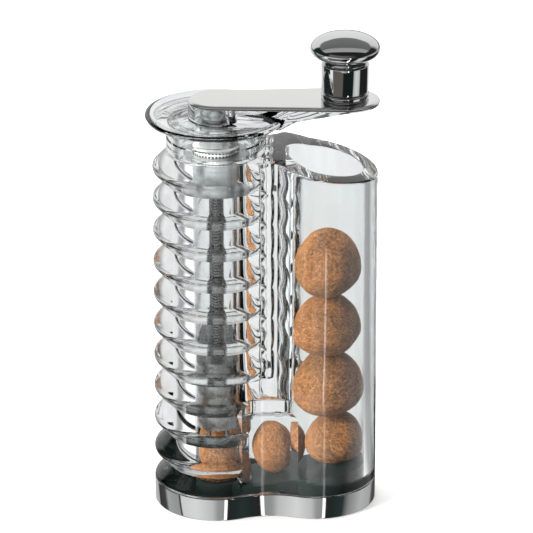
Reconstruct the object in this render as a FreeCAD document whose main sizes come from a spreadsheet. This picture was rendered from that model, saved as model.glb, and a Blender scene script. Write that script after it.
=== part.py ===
import FreeCAD, Part
import math
import os
import re

import Sketcher
from FreeCAD import Placement, Rotation, Vector

# Hand-cranked nutmeg grater: a clear two-lobed body, one lobe a mill and the other a store of whole
# nutmegs. Z is up, the origin is on the mill's axis at the level the base stands on, and the store
# lies towards +X. Lengths are in millimetres and angles in degrees.

SIZES = [
    # the clear body
    ("mill_crest_radius", 23.5, "mill lobe over the crests of its ribs"),
    ("bead_pitch", 12.44, "height of one rib"),
    ("bead_crest_radius", 2.5, "round crest of a rib"),
    ("bead_flank", 43.0, "lean of a rib's flanks from the upright"),
    ("storage_centre_x", 37.0, "axis of the storage lobe's outside"),
    ("storage_outer_radius", 22.4, "storage lobe outside"),
    ("waist_arc_radius", 5.0, "hollow of the waist between the lobes"),
    ("waist_groove_depth", 2.5, "grooves over the waist and the storage lobe's flank"),
    ("rib_end_x", 26.5, "where the grooves stop on the storage lobe's flank"),
    ("housing_top", 139.6, "top of the mill lobe"),
    ("mill_bore_radius", 12.0, "bore of the mill lobe"),
    ("storage_bore_x", 39.9, "axis of the storage bore"),
    ("storage_bore_radius", 14.0, "storage bore"),
    ("mouth_start_x", 24.8, "where the slanted mouth starts"),
    ("mouth_slope", 21.1, "slope of the storage mouth beside the mill lobe"),
    ("mouth_bend_x", 34.5, "where the mouth's slope changes"),
    ("mouth_end_slope", 10.8, "slope of the storage mouth beyond the bend"),
    ("window_top", 39.5, "top of the feed window between the bores"),
    ("window_width", 22.0, "width of the feed window"),
    # the base
    ("foot_arc_radius", 28.0, "hollow of the base ring's waist"),
    ("web_top", 47.5, "top of the plain webs that fill the waist beside the window"),
    ("web_setback", 0.3, "from the base ring's hollow in to a web's face"),
    ("web_cover", 0.5, "from the bottom of a groove in to a web's root"),
    ("trim_height", 9.1, "height of the chromed base ring"),
    ("trim_wall", 1.5, "wall of the base ring"),
    ("trim_round", 0.6, "rounded edges of the base ring"),
    ("plate_bottom", 0.8, "underside of the base insert above the table"),
    ("plate_thickness", 2.2, "plate of the base insert"),
    ("plug_clearance", 0.2, "base insert's plugs in the bores"),
    ("mill_floor", 8.0, "seat of the grater disc"),
    ("ramp_height", 16.8, "ramp's top at the far side of the storage bore"),
    ("ramp_angle", 10.0, "ramp's slope down to the mill"),
    ("outlet_radius", 9.4, "outlet under the grater disc"),
    ("disc_radius", 11.2, "grater disc"),
    ("disc_thickness", 0.8, "grater disc's sheet"),
    ("disc_clearance", 0.4, "grater disc in its seat"),
    ("grate_hole_radius", 0.8, "holes of the grater disc"),
    ("grate_ring_step", 2.7, "spacing of the rings of holes"),
    ("disc_screw_circle", 10.3, "screws of the grater disc"),
    ("disc_screw_radius", 0.4, "shank of a disc screw"),
    ("disc_screw_head", 0.7, "head radius of a disc screw"),
    ("disc_screw_rise", 0.4, "head height of a disc screw"),
    ("disc_screw_depth", 3.5, "disc screw's length in the insert"),
    ("base_screw_radius", 1.25, "shank of a base screw"),
    ("base_screw_head", 2.4, "head radius of a base screw"),
    ("base_screw_sink", 1.2, "depth of a base screw's head"),
    ("base_screw_depth", 6.0, "base screw's length in the body"),
    ("waist_screw_x", 24.5, "base screws beside the window"),
    ("waist_screw_wall", 3.6, "from the window to a waist screw's axis"),
    # the bearing at the top of the mill bore
    ("collar_radius", 11.6, "bearing collar under its flange"),
    ("collar_bottom", 128.0, "lower end of the collar"),
    ("collar_flange", 3.6, "thickness of the collar's flange"),
    ("bush_radius", 7.0, "splined bush in the collar"),
    ("bush_clearance", 0.05, "running fit of the bush"),
    ("bush_flange_radius", 8.6, "flange of the bush"),
    ("bush_flange", 2.4, "thickness of the bush's flange"),
    ("bush_tail", 2.0, "bush below the collar"),
    ("clip_thickness", 1.0, "retaining clips"),
    ("clip_gap", 0.2, "end play at a clip"),
    ("clip_groove", 0.6, "depth of a clip's groove"),
    ("clip_rim", 1.6, "clip standing out of its groove"),
    ("neck_radius", 18.3, "clear neck ring outside"),
    ("neck_bore", 14.0, "clear neck ring inside"),
    ("neck_gap", 0.3, "neck ring to crank dish"),
    # the crank's shaft, spring and plunger
    ("shaft_flats", 4.8, "hexagonal shaft across its flats"),
    ("shaft_clearance", 0.06, "sliding fit of the shaft, across its flats"),
    ("shaft_end_radius", 1.7, "threaded end of the shaft"),
    ("spring_radius", 3.25, "spring's mean radius"),
    ("spring_wire", 0.35, "spring wire's radius"),
    ("spring_turns", 17, "coils of the spring"),
    ("washer_radius", 6.5, "thrust washer"),
    ("washer_bore", 2.9, "thrust washer's hole"),
    ("washer_thickness", 0.8, "thrust washer's sheet"),
    ("cup_radius", 10.9, "pressure cup"),
    ("cup_wall", 1.5, "wall of the pressure cup"),
    ("cup_roof", 3.0, "top of the pressure cup"),
    ("cup_top", 55.0, "height of the pressure cup's top"),
    ("cup_height", 26.0, "length of the pressure cup"),
    ("cup_round", 1.0, "rounded top edge of the cup"),
    ("claw_plate_thickness", 3.0, "plate that holds the claws"),
    ("claw_circle", 7.0, "circle of the claws"),
    ("claw_radius", 1.0, "claw"),
    ("claw_length", 7.2, "claws below their plate"),
    ("claw_point", 1.6, "length of a claw's point"),
    ("nut_radius", 3.2, "nut under the claw plate"),
    ("nut_thickness", 2.4, "nut under the claw plate"),
    # the crank
    ("dish_radius", 26.0, "clear dish under the crank"),
    ("dish_bottom", 150.6, "underside of the dish"),
    ("dish_height", 3.4, "rim of the dish"),
    ("dish_rim", 3.4, "width of the dish's rim"),
    ("dish_floor", 1.2, "floor of the dish"),
    ("arm_hub_radius", 10.2, "crank arm's rounded end round the hub"),
    ("arm_radius", 12.6, "crank arm's rounded end under the knob"),
    ("arm_length", 47.2, "between the centres of the arm's ends"),
    ("arm_top", 158.2, "top of the clear arm"),
    ("arm_root_bottom", 153.3, "underside of the clear arm beside the dish"),
    ("arm_wedge_overrun", 0.8, "arm's sloping underside past the rounded end's centre"),
    ("arm_lip", 0.7, "clear arm at its outer end"),
    ("strip_thickness", 1.2, "chromed strip on the arm"),
    ("strip_round", 1.1, "rounded edge of the strip"),
    ("hub_radius", 7.9, "foot of the tapered, splined hub"),
    ("hub_top_radius", 6.6, "top of the hub, under the dish's floor"),
    ("hub_well_radius", 7.9, "well in the arm over the hub"),
    ("spigot_flats", 8.0, "hexagon that the hub turns the arm with, across its flats"),
    ("hub_hex_depth", 7.0, "shaft's depth in the hub"),
    ("hub_splines", 28, "splines round the hub"),
    ("spline_depth", 0.5, "depth of a spline"),
    ("hub_screw_radius", 1.5, "screw through the hub"),
    ("hub_screw_foot", 5.2, "underside of the hub screw's domed head"),
    ("hub_screw_head", 5.9, "hub screw's domed head at its widest"),
    ("hub_screw_crown", 4.9, "top of the hub screw's head"),
    ("hub_screw_height", 5.8, "height of the hub screw's head"),
    ("hub_screw_belly", 1.7, "straight band of the head, and its height over the floor"),
    ("hub_screw_round", 4.0, "rounding of the head"),
    ("hub_screw_depth", 9.0, "hub screw's length in the shaft"),
    # the knob
    ("knob_setback", 0.2, "knob's axis from the centre of the arm's rounded end"),
    ("knob_washer_radius", 8.8, "washer under the knob"),
    ("knob_washer_thickness", 2.5, "washer under the knob"),
    ("knob_gap", 0.2, "end play of the knob"),
    ("knob_radius", 8.7, "stem of the knob"),
    ("knob_stem", 11.3, "length of the knob's stem"),
    ("knob_chamfer", 0.6, "chamfered ends of the stem"),
    ("knob_well_radius", 5.5, "well in the stem for the clip"),
    ("knob_well_depth", 5.0, "well in the stem for the clip"),
    ("cap_radius", 12.8, "mushroom cap of the knob"),
    ("cap_neck", 8.4, "cap where it meets the stem"),
    ("cap_flare", 3.9, "cap's height below its widest band"),
    ("cap_band", 2.0, "height of the cap's widest band"),
    ("cap_height", 10.7, "height of the cap"),
    ("cap_crown", 6.0, "top of the cap's sloping shoulder"),
    ("cap_belly_round", 1.9, "rounding at the cap's widest band"),
    ("cap_crown_round", 12.0, "rounding over the cap's crown"),
    ("spindle_radius", 2.5, "spindle of the knob"),
    ("spindle_clearance", 0.06, "running fit of the knob"),
    ("spindle_head_radius", 4.2, "head of the spindle, in the arm"),
    ("spindle_head", 0.4, "head of the spindle, in the arm"),
    ("spindle_end", 1.4, "spindle beyond its clip"),
    # the nutmegs
    ("nutmeg_gap", 0.2, "between two nutmegs in the store"),
    ("top_nutmeg_clearance", 1.0, "top nutmeg beside the bore, half the difference"),
    ("top_nutmeg_height", 25.0, "top nutmeg"),
    ("top_nutmeg_shift", -0.9, "top nutmeg off the bore's axis"),
    ("second_nutmeg_clearance", 1.0, "second nutmeg beside the bore"),
    ("second_nutmeg_height", 23.0, "second nutmeg"),
    ("second_nutmeg_shift", -0.9, "second nutmeg off the bore's axis"),
    ("third_nutmeg_clearance", 0.4, "third nutmeg beside the bore"),
    ("third_nutmeg_height", 24.5, "third nutmeg"),
    ("third_nutmeg_shift", -0.3, "third nutmeg off the bore's axis"),
    ("bottom_nutmeg_clearance", 2.6, "bottom nutmeg beside the bore"),
    ("bottom_nutmeg_height", 19.0, "bottom nutmeg"),
    ("bottom_nutmeg_shift", 2.5, "bottom nutmeg off the bore's axis"),
    ("feeding_nutmeg_x", 21.2, "middle of the nutmeg in the window"),
    ("feeding_nutmeg_length", 20.0, "nutmeg in the window, along X"),
    ("feeding_nutmeg_depth", 19.0, "nutmeg in the window, along Y"),
    ("feeding_nutmeg_height", 20.0, "nutmeg in the window"),
    ("ground_nutmeg_length", 21.6, "nutmeg on the grater disc, along X"),
    ("ground_nutmeg_depth", 19.0, "nutmeg on the grater disc, along Y"),
    ("ground_nutmeg_height", 16.0, "nutmeg on the grater disc, when whole"),
    ("ground_nutmeg_left", 12.0, "what is left of its height"),
]

# Values that follow from the sizes, as formulas of the second sheet.
WORKED = [
    ("waist_from_mill", "mill_crest_radius + waist_arc_radius"),
    ("waist_from_storage", "storage_outer_radius + waist_arc_radius"),
    ("waist_centre_x", "(waist_from_mill^2 - waist_from_storage^2 + storage_centre_x^2)"
                       " / (2 * storage_centre_x)"),
    ("waist_centre_y", "sqrt(waist_from_mill^2 - waist_centre_x^2)"),
    ("foot_from_mill", "mill_crest_radius + foot_arc_radius"),
    ("foot_from_storage", "storage_outer_radius + foot_arc_radius"),
    ("foot_centre_x", "(foot_from_mill^2 - foot_from_storage^2 + storage_centre_x^2)"
                      " / (2 * storage_centre_x)"),
    ("foot_centre_y", "sqrt(foot_from_mill^2 - foot_centre_x^2)"),
    ("waist_meets_mill", "180deg - acos(waist_centre_x / waist_from_mill)"),
    ("waist_meets_storage", "acos((storage_centre_x - waist_centre_x) / waist_from_storage)"),
    ("flank_grooves_end", "acos((storage_centre_x - rib_end_x) / storage_outer_radius)"),
    ("mill_rib_span", "2 * waist_meets_mill"),
    ("waist_groove_span", "waist_meets_mill - waist_meets_storage"),
    ("waist_groove_middle", "(waist_meets_mill + waist_meets_storage) / 2"),
    ("flank_groove_span", "flank_grooves_end - waist_meets_storage"),
    ("flank_groove_middle", "(flank_grooves_end + waist_meets_storage) / 2"),
    ("bead_round_depth", "bead_crest_radius * (1 - cos(bead_flank))"),
    ("bead_round_rise", "bead_crest_radius * sin(bead_flank)"),
    ("bead_depth", "bead_round_depth + (bead_pitch / 2 - bead_round_rise) * tan(bead_flank)"),
    ("bead_count", "ceil((housing_top - trim_height) / bead_pitch)"),
    ("bead_start", "housing_top - bead_count * bead_pitch"),
    ("bead_middle", "bead_start + bead_pitch / 2"),
    ("waist_groove_rise", "waist_groove_depth / tan(bead_flank)"),
    ("web_radius", "foot_arc_radius + web_setback"),
    ("web_mill_reach", "foot_from_mill - web_radius"),
    ("web_mill_root", "mill_crest_radius - bead_depth - web_cover"),
    ("web_storage_reach", "foot_from_storage - web_radius"),
    ("web_storage_root", "storage_outer_radius - waist_groove_depth - web_cover"),
    ("web_root_y", "waist_centre_y - waist_arc_radius - waist_groove_depth - web_cover"),
    ("web_root_mill_x", "sqrt(web_mill_root^2 - web_root_y^2)"),
    ("web_root_storage_x", "storage_centre_x - sqrt(web_storage_root^2 - web_root_y^2)"),
    ("housing_bottom", "plate_bottom + plate_thickness"),
    ("mouth_bend_z", "housing_top - (mouth_bend_x - mouth_start_x) * tan(mouth_slope)"),
    ("base_screw_top", "housing_bottom + base_screw_depth"),
    ("left_screw_x", "-(mill_bore_radius + mill_crest_radius - trim_wall) / 2"),
    ("waist_screw_y", "window_width / 2 + waist_screw_wall"),
    ("disc_top", "mill_floor + disc_thickness"),
    ("seat_radius", "disc_radius + disc_clearance"),
    ("ramp_end_x", "storage_bore_x + storage_bore_radius"),
    ("bush_bottom", "collar_bottom - bush_tail"),
    ("bush_top", "housing_top + bush_flange"),
    ("bush_clip_top", "collar_bottom - clip_gap"),
    ("washer_bottom", "bush_bottom - washer_thickness"),
    ("cup_bottom", "cup_top - cup_height"),
    ("nut_bottom", "cup_bottom - nut_thickness"),
    ("shaft_top", "bush_top + hub_hex_depth"),
    ("dish_top", "dish_bottom + dish_height"),
    ("dish_floor_top", "dish_bottom + dish_floor"),
    ("strip_top", "arm_top + strip_thickness"),
    ("arm_tip_x", "arm_length + arm_radius"),
    ("arm_wedge_end", "arm_length + arm_wedge_overrun"),
    ("knob_axis_x", "arm_length - knob_setback"),
    ("arm_lip_bottom", "arm_top - arm_lip"),
    ("hub_screw_end", "shaft_top - hub_screw_depth"),
    ("hub_screw_top", "dish_floor_top + hub_screw_height"),
    ("spindle_seat", "arm_top - spindle_head"),
    ("washer_top", "strip_top + knob_washer_thickness"),
    ("knob_bottom", "washer_top + knob_gap"),
    ("knob_top", "knob_bottom + knob_stem"),
    ("well_bottom", "knob_top - knob_well_depth"),
    ("spindle_clip_bottom", "well_bottom + clip_gap"),
    ("spindle_clip_top", "spindle_clip_bottom + clip_thickness"),
    ("spindle_top", "spindle_clip_top + spindle_end"),
]

SIZE_NAMES = {alias for alias, _, _ in SIZES}
WORKED_NAMES = {alias for alias, _ in WORKED}
NAME = re.compile(r"\b[a-z]+(?:_[a-z]+)+\b")
CUT_MARGIN = 40.0  # how far a cutting tool reaches past what it cuts
FULL_TURN = 360

document = FreeCAD.newDocument("nutmeg_grater")
nodes = []


def bound(expression):
    """The expression with each name tied to the sheet that holds it."""
    def cell(match):
        alias = match.group(0)
        if alias in SIZE_NAMES:
            return "Sizes." + alias
        if alias in WORKED_NAMES:
            return "Worked." + alias
        raise KeyError(alias)
    return NAME.sub(cell, str(expression))


def fill_sheets():
    """One sheet of plain driving sizes and one of the formulas that follow from them."""
    sizes = document.addObject("Spreadsheet::Sheet", "Sizes")
    for row, (alias, number, meaning) in enumerate(SIZES, start=1):
        sizes.set(f"A{row}", alias)
        sizes.set(f"B{row}", str(number))
        sizes.setAlias(f"B{row}", alias)
        sizes.set(f"C{row}", meaning)
    document.recompute()
    worked = document.addObject("Spreadsheet::Sheet", "Worked")
    for row, (alias, formula) in enumerate(WORKED, start=1):
        worked.set(f"A{row}", alias)
        worked.set(f"B{row}", "=" + bound(formula).replace("Worked.", ""))
        worked.setAlias(f"B{row}", alias)
        document.recompute()
    return sizes


sizes_sheet = fill_sheets()


def value(expression):
    """The number that an expression of the sheets' names comes to."""
    result = sizes_sheet.evalExpression(bound(expression))
    return float(getattr(result, "Value", result))


def bind(thing, **properties):
    """Ties properties to expressions; a double underscore stands for a dot."""
    for path, expression in properties.items():
        thing.setExpression(path.replace("__", "."), bound(expression))


def keep(thing, label):
    """Names a finished sub-part, which is written out under that name."""
    thing.Label = label
    nodes.append(thing)
    return thing


# Sketches


def new_body(label):
    return keep(document.addObject("PartDesign::Body", label), label)


def plane(body, role):
    return next(o for o in body.Origin.OriginFeatures if o.Role == role)


def flat_sketch(body, name, height="0"):
    """A sketch on the body's XY plane, raised to a height."""
    sketch = body.newObject("Sketcher::SketchObject", name)
    sketch.AttachmentSupport = [(plane(body, "XY_Plane"), "")]
    sketch.MapMode = "FlatFace"
    bind(sketch, AttachmentOffset__Base__z=height)
    return sketch


def upright_sketch(body, name):
    """A sketch on the body's XZ plane: its own axes are X and Z."""
    sketch = body.newObject("Sketcher::SketchObject", name)
    sketch.AttachmentSupport = [(plane(body, "XZ_Plane"), "")]
    sketch.MapMode = "FlatFace"
    return sketch


def pin_point(sketch, geometry, end, x, y):
    """Holds a sketch point at two expressions."""
    for kind, axis, expression in (("DistanceX", -2, x), ("DistanceY", -1, y)):
        number = value(expression)
        if abs(number) < 1e-9:
            sketch.addConstraint(Sketcher.Constraint("PointOnObject", geometry, end, axis))
            continue
        index = sketch.addConstraint(Sketcher.Constraint(kind, -1, 1, geometry, end, number))
        sketch.setExpression(f"Constraints[{index}]", bound(expression))


def pin_radius(sketch, geometry, expression):
    index = sketch.addConstraint(Sketcher.Constraint("Radius", geometry, value(expression)))
    sketch.setExpression(f"Constraints[{index}]", bound(expression))


def add_circle(sketch, radius, x="0", y="0"):
    centre = Vector(value(x), value(y), 0)
    index = sketch.addGeometry(Part.Circle(centre, Vector(0, 0, 1), value(radius)))
    pin_radius(sketch, index, radius)
    pin_point(sketch, index, 3, x, y)


def add_polygon(sketch, corners):
    """A closed outline through corners given as pairs of expressions."""
    points = [Vector(value(x), value(y), 0) for x, y in corners]
    first = sketch.GeometryCount
    for start, end in zip(points, points[1:] + points[:1]):
        sketch.addGeometry(Part.LineSegment(start, end))
    for index in range(len(points)):
        before = first + (index - 1) % len(points)
        sketch.addConstraint(Sketcher.Constraint("Coincident", before, 2, first + index, 1))
        pin_point(sketch, first + index, 1, *corners[index])


def add_box(sketch, low_x, low_y, high_x, high_y):
    add_polygon(sketch, [(low_x, low_y), (high_x, low_y), (high_x, high_y), (low_x, high_y)])


def add_hexagon(sketch, flats):
    turns = [60 * corner for corner in range(6)]
    reach = f"({flats}) / sqrt(3)"
    add_polygon(sketch, [(f"{reach} * cos({turn})", f"{reach} * sin({turn})") for turn in turns])


def add_arm_outline(sketch):
    """The crank arm in plan: a small arc round the hub, a large one at the knob and two tangents."""
    reach, near_radius, far_radius = value("arm_length"), value("arm_hub_radius"), value("arm_radius")
    lean = math.acos((near_radius - far_radius) / reach)
    near_circle = Part.Circle(Vector(0, 0, 0), Vector(0, 0, 1), near_radius)
    far_circle = Part.Circle(Vector(reach, 0, 0), Vector(0, 0, 1), far_radius)
    near = Part.ArcOfCircle(near_circle, lean, 2 * math.pi - lean)
    far = Part.ArcOfCircle(far_circle, -lean, lean)
    first = sketch.addGeometry(near)
    sketch.addGeometry(Part.LineSegment(near.EndPoint, far.StartPoint))
    sketch.addGeometry(far)
    sketch.addGeometry(Part.LineSegment(far.EndPoint, near.StartPoint))
    for index in range(4):
        joined = ("Tangent", first + index, 2, first + (index + 1) % 4, 1)
        sketch.addConstraint(Sketcher.Constraint(*joined))
    pin_point(sketch, first, 3, "0", "0")
    pin_point(sketch, first + 2, 3, "arm_length", "0")
    pin_radius(sketch, first, "arm_hub_radius")
    pin_radius(sketch, first + 2, "arm_radius")


def add_outline(sketch, hollow, inset="0"):
    """A two-lobed outline, drawn in by an inset: four arcs, each tangent to the next.

    The hollow between the lobes is the body's own ("waist") or the base ring's ("foot").
    """
    mill_radius = value(f"mill_crest_radius - ({inset})")
    storage_radius = value(f"storage_outer_radius - ({inset})")
    waist_radius = value(f"{hollow}_arc_radius + ({inset})")
    reach, x, y = value("storage_centre_x"), value(hollow + "_centre_x"), value(hollow + "_centre_y")
    mill_turn, storage_turn = math.atan2(y, x), math.atan2(y, x - reach)
    to_storage = math.atan2(y, reach - x)
    to_mill = math.pi - mill_turn
    arcs = [
        (0, 0, mill_radius, mill_turn, 2 * math.pi - mill_turn),
        (x, -y, waist_radius, to_storage, to_mill),
        (reach, 0, storage_radius, -storage_turn, storage_turn),
        (x, y, waist_radius, -to_mill, -to_storage),
    ]
    for centre_x, centre_y, radius, start, end in arcs:
        circle = Part.Circle(Vector(centre_x, centre_y, 0), Vector(0, 0, 1), radius)
        sketch.addGeometry(Part.ArcOfCircle(circle, start, end))
    mill, front, storage, back = range(4)
    for joined in ((mill, 2, front, 2), (front, 1, storage, 1), (storage, 2, back, 2), (back, 1, mill, 1)):
        sketch.addConstraint(Sketcher.Constraint("Tangent", *joined))
    pin_point(sketch, mill, 3, "0", "0")
    pin_point(sketch, storage, 3, "storage_centre_x", "0")
    pin_radius(sketch, mill, f"mill_crest_radius - ({inset})")
    pin_radius(sketch, storage, f"storage_outer_radius - ({inset})")
    pin_radius(sketch, front, f"{hollow}_arc_radius + ({inset})")
    pin_radius(sketch, back, f"{hollow}_arc_radius + ({inset})")


def add_web(sketch, side):
    """A web in plan, at the back (side 1) or in front (side -1): a hollow face and a root in the lobes."""
    def on_mill(reach):
        return (f"{reach} * foot_centre_x / foot_from_mill",
                f"{side} * {reach} * foot_centre_y / foot_from_mill")

    def on_storage(reach):
        return (f"storage_centre_x - {reach} * (storage_centre_x - foot_centre_x) / foot_from_storage",
                f"{side} * {reach} * foot_centre_y / foot_from_storage")

    corners = [on_mill("web_mill_reach"), on_mill("web_mill_root"),
               ("web_root_mill_x", f"{side} * web_root_y"), ("web_root_storage_x", f"{side} * web_root_y"),
               on_storage("web_storage_root"), on_storage("web_storage_reach")]
    points = [Vector(value(x), value(y), 0) for x, y in corners]
    centre = Vector(value("foot_centre_x"), side * value("foot_centre_y"), 0)
    turns = sorted(math.atan2(point.y - centre.y, point.x - centre.x) for point in (points[0], points[-1]))
    circle = Part.Circle(centre, Vector(0, 0, 1), value("web_radius"))
    arc = sketch.addGeometry(Part.ArcOfCircle(circle, *turns))
    for start, end in zip(points, points[1:]):
        sketch.addGeometry(Part.LineSegment(start, end))
    last = arc + len(corners) - 1
    mill_end, storage_end = (1, 2) if side > 0 else (2, 1)
    joined = [(line, 2, line + 1, 1) for line in range(arc + 1, last)]
    for pair in joined + [(arc, mill_end, arc + 1, 1), (arc, storage_end, last, 2)]:
        sketch.addConstraint(Sketcher.Constraint("Coincident", *pair))
    for line, corner in enumerate(corners[:-1], start=arc + 1):
        pin_point(sketch, line, 1, *corner)
    pin_point(sketch, last, 2, *corners[-1])
    pin_radius(sketch, arc, "web_radius")


def add_bead_gap(sketch, crest):
    """What is cut away beside one rib: two straight flanks on a round crest, closed beyond the crest."""
    corners = [
        (f"{crest} + bead_round_depth", "bead_middle + bead_round_rise"),
        (f"{crest} + bead_depth", "bead_start + bead_pitch"),
        (f"{crest} - bead_depth", "bead_start + bead_pitch"),
        (f"{crest} - bead_depth", "bead_start"),
        (f"{crest} + bead_depth", "bead_start"),
        (f"{crest} + bead_round_depth", "bead_middle - bead_round_rise"),
    ]
    points = [Vector(value(x), value(y), 0) for x, y in corners]
    centre = Vector(value(f"{crest} + bead_crest_radius"), value("bead_middle"), 0)
    circle = Part.Circle(centre, Vector(0, 0, 1), value("bead_crest_radius"))
    lean = math.radians(value("bead_flank"))
    arc = sketch.addGeometry(Part.ArcOfCircle(circle, math.pi - lean, math.pi + lean))
    for start, end in zip(points, points[1:]):
        sketch.addGeometry(Part.LineSegment(start, end))
    last = arc + len(corners) - 1
    joined = [(line, 2, line + 1, 1) for line in range(arc + 1, last)]
    for pair in joined + [(arc, 1, arc + 1, 1), (arc, 2, last, 2)]:
        sketch.addConstraint(Sketcher.Constraint("Coincident", *pair))
    for line, corner in enumerate(corners[:-1], start=arc + 1):
        pin_point(sketch, line, 1, *corner)
    pin_point(sketch, last, 2, *corners[-1])
    pin_radius(sketch, arc, "bead_crest_radius")


def add_notch(sketch, surface):
    """A groove's section between two ribs, cut into an upright surface."""
    level = "bead_start + bead_pitch"
    outside = f"{surface} - waist_groove_depth"
    add_polygon(sketch, [(f"{surface} + waist_groove_depth", level),
                         (outside, f"{level} + 2 * waist_groove_rise"),
                         (outside, f"{level} - 2 * waist_groove_rise")])


# Features


def pad(body, sketch, length, name):
    feature = body.newObject("PartDesign::Pad", name)
    feature.Profile = sketch
    bind(feature, Length=length)
    return feature


def pocket(body, sketch, length, name, upwards=False):
    """Cuts down from the sketch, or up from it."""
    feature = body.newObject("PartDesign::Pocket", name)
    feature.Profile = sketch
    feature.Reversed = upwards
    bind(feature, Length=length)
    return feature


def pocket_across(body, sketch, name):
    """Cuts an upright sketch right through, both ways."""
    feature = body.newObject("PartDesign::Pocket", name)
    feature.Profile = sketch
    feature.Midplane = True
    feature.Length = 3 * CUT_MARGIN
    return feature


def hole(body, name, radius, height, depth, x="0", y="0", upwards=False):
    """A round hole cut from a height, down or up."""
    sketch = flat_sketch(body, name + "_outline", height)
    add_circle(sketch, radius, x, y)
    return pocket(body, sketch, depth, name, upwards)


def spun(body, corners, name="turned"):
    """Turns an outline of radius and height about the body's Z axis."""
    sketch = upright_sketch(body, name + "_outline")
    add_polygon(sketch, corners)
    feature = body.newObject("PartDesign::Revolution", name)
    feature.Profile = sketch
    feature.ReferenceAxis = (sketch, ["V_Axis"])
    feature.Angle = FULL_TURN
    return feature


def repeat_round(body, feature, count):
    pattern = body.newObject("PartDesign::PolarPattern", feature.Name + "_round")
    pattern.Originals = [feature]
    pattern.Axis = (feature.Profile[0], ["N_Axis"])
    pattern.Angle = FULL_TURN
    if isinstance(count, int):
        pattern.Occurrences = count
    else:
        bind(pattern, Occurrences=count)
    body.Tip = pattern
    return pattern


def cylinder(name, radius, low, high, x="0", y="0"):
    shape = document.addObject("Part::Cylinder", name)
    bind(shape, Radius=radius, Height=f"({high}) - ({low})")
    bind(shape, Placement__Base__x=x, Placement__Base__y=y, Placement__Base__z=low)
    return shape


def stepped_pin(name, steps, x="0", y="0"):
    """Cylinders on one axis, each given as radius, low and high, joined into one pin."""
    parts = [cylinder(f"{name}_step_{i}", *step, x, y) for i, step in enumerate(steps, start=1)]
    joined = document.addObject("Part::MultiFuse", name)
    joined.Shapes = parts
    return joined


def group(label, members):
    """Like pieces that share one node, each a solid of its own."""
    together = document.addObject("Part::Compound", label)
    together.Links = members
    return keep(together, label)


def less(label, base, *tools):
    """A piece with tools cut out of it, one after another."""
    for index, tool in enumerate(tools, start=1):
        cut = document.addObject("Part::Cut", f"{label}_cut_{index}")
        cut.Base, cut.Tool = base, tool
        base = cut
    return keep(base, label)


# The clear body


def cut_round(body, name, axis_x, axis_y, middle, span, draw, surface):
    """Cuts a section drawn on a surface, turned about an upright axis over a span round a direction."""
    sketch = upright_sketch(body, name + "_outline")
    bind(sketch, AttachmentOffset__Base__x=axis_x, AttachmentOffset__Base__z=f"-1 * ({axis_y})")
    sketch.AttachmentOffset = Placement(sketch.AttachmentOffset.Base, Rotation(Vector(0, 1, 0), 1))
    bind(sketch, AttachmentOffset__Rotation__Angle=middle)
    draw(sketch, surface)
    groove = body.newObject("PartDesign::Groove", name)
    groove.Profile = sketch
    groove.ReferenceAxis = (sketch, ["V_Axis"])
    groove.Midplane = True
    bind(groove, Angle=span)
    return groove


def make_housing():
    body = new_body("body_housing")
    outline = flat_sketch(body, "lobes_outline", "trim_height")
    add_outline(outline, "waist")
    pad(body, outline, "housing_top - trim_height", "lobes")
    gaps = [
        cut_round(body, "mill_rib", "0", "0", "0deg", "mill_rib_span", add_bead_gap, "-mill_crest_radius"),
        cut_round(body, "front_waist_groove", "waist_centre_x", "-waist_centre_y",
                  "waist_groove_middle", "waist_groove_span", add_notch, "waist_arc_radius"),
        cut_round(body, "back_waist_groove", "waist_centre_x", "waist_centre_y",
                  "-waist_groove_middle", "waist_groove_span", add_notch, "waist_arc_radius"),
        cut_round(body, "front_flank_groove", "storage_centre_x", "0",
                  "flank_groove_middle", "flank_groove_span", add_notch, "-storage_outer_radius"),
        cut_round(body, "back_flank_groove", "storage_centre_x", "0",
                  "-flank_groove_middle", "flank_groove_span", add_notch, "-storage_outer_radius"),
    ]
    ribs = body.newObject("PartDesign::LinearPattern", "ribs")
    ribs.Originals = gaps
    ribs.Direction = (gaps[0].Profile[0], ["V_Axis"])
    bind(ribs, Length="(bead_count - 1) * bead_pitch", Occurrences="bead_count")
    body.Tip = ribs
    for name, side in (("front_web", -1), ("back_web", 1)):
        web = flat_sketch(body, name + "_outline", "trim_height")
        add_web(web, side)
        pad(body, web, "web_top - trim_height", name)
    skirt = flat_sketch(body, "skirt_outline", "housing_bottom")
    add_outline(skirt, "foot", "trim_wall")
    pad(body, skirt, "trim_height - housing_bottom", "skirt")
    hole(body, "mill_bore", "mill_bore_radius", "housing_top", "housing_top")
    hole(body, "storage_bore", "storage_bore_radius", "housing_top", "housing_top", "storage_bore_x")
    window = flat_sketch(body, "window_outline", "housing_bottom")
    add_box(window, "0", "-window_width / 2", "storage_bore_x", "window_width / 2")
    pocket(body, window, "window_top - housing_bottom", "feed_window", upwards=True)
    mouth = upright_sketch(body, "mouth_outline")
    reach = f"(mouth_bend_x + {2 * CUT_MARGIN})"
    add_polygon(mouth, [
        ("mouth_start_x", "housing_top"),
        ("mouth_bend_x", "mouth_bend_z"),
        (reach, f"mouth_bend_z - {2 * CUT_MARGIN} * tan(mouth_end_slope)"),
        (reach, f"housing_top + {CUT_MARGIN}"),
        ("mouth_start_x", f"housing_top + {CUT_MARGIN}"),
    ])
    pocket_across(body, mouth, "slanted_mouth")
    for name, x, y in base_screw_places():
        hole(body, name + "_pilot", "base_screw_radius", "housing_bottom", "base_screw_depth",
             x, y, upwards=True)
    return body


def base_screw_places():
    """Name and axis of each screw between the base insert and the clear body."""
    return [("left_screw", "left_screw_x", "0"),
            ("front_screw", "waist_screw_x", "-waist_screw_y"),
            ("back_screw", "waist_screw_x", "waist_screw_y")]


# The base

DISC_SCREW_TURNS = [90, 210, 330]


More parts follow.
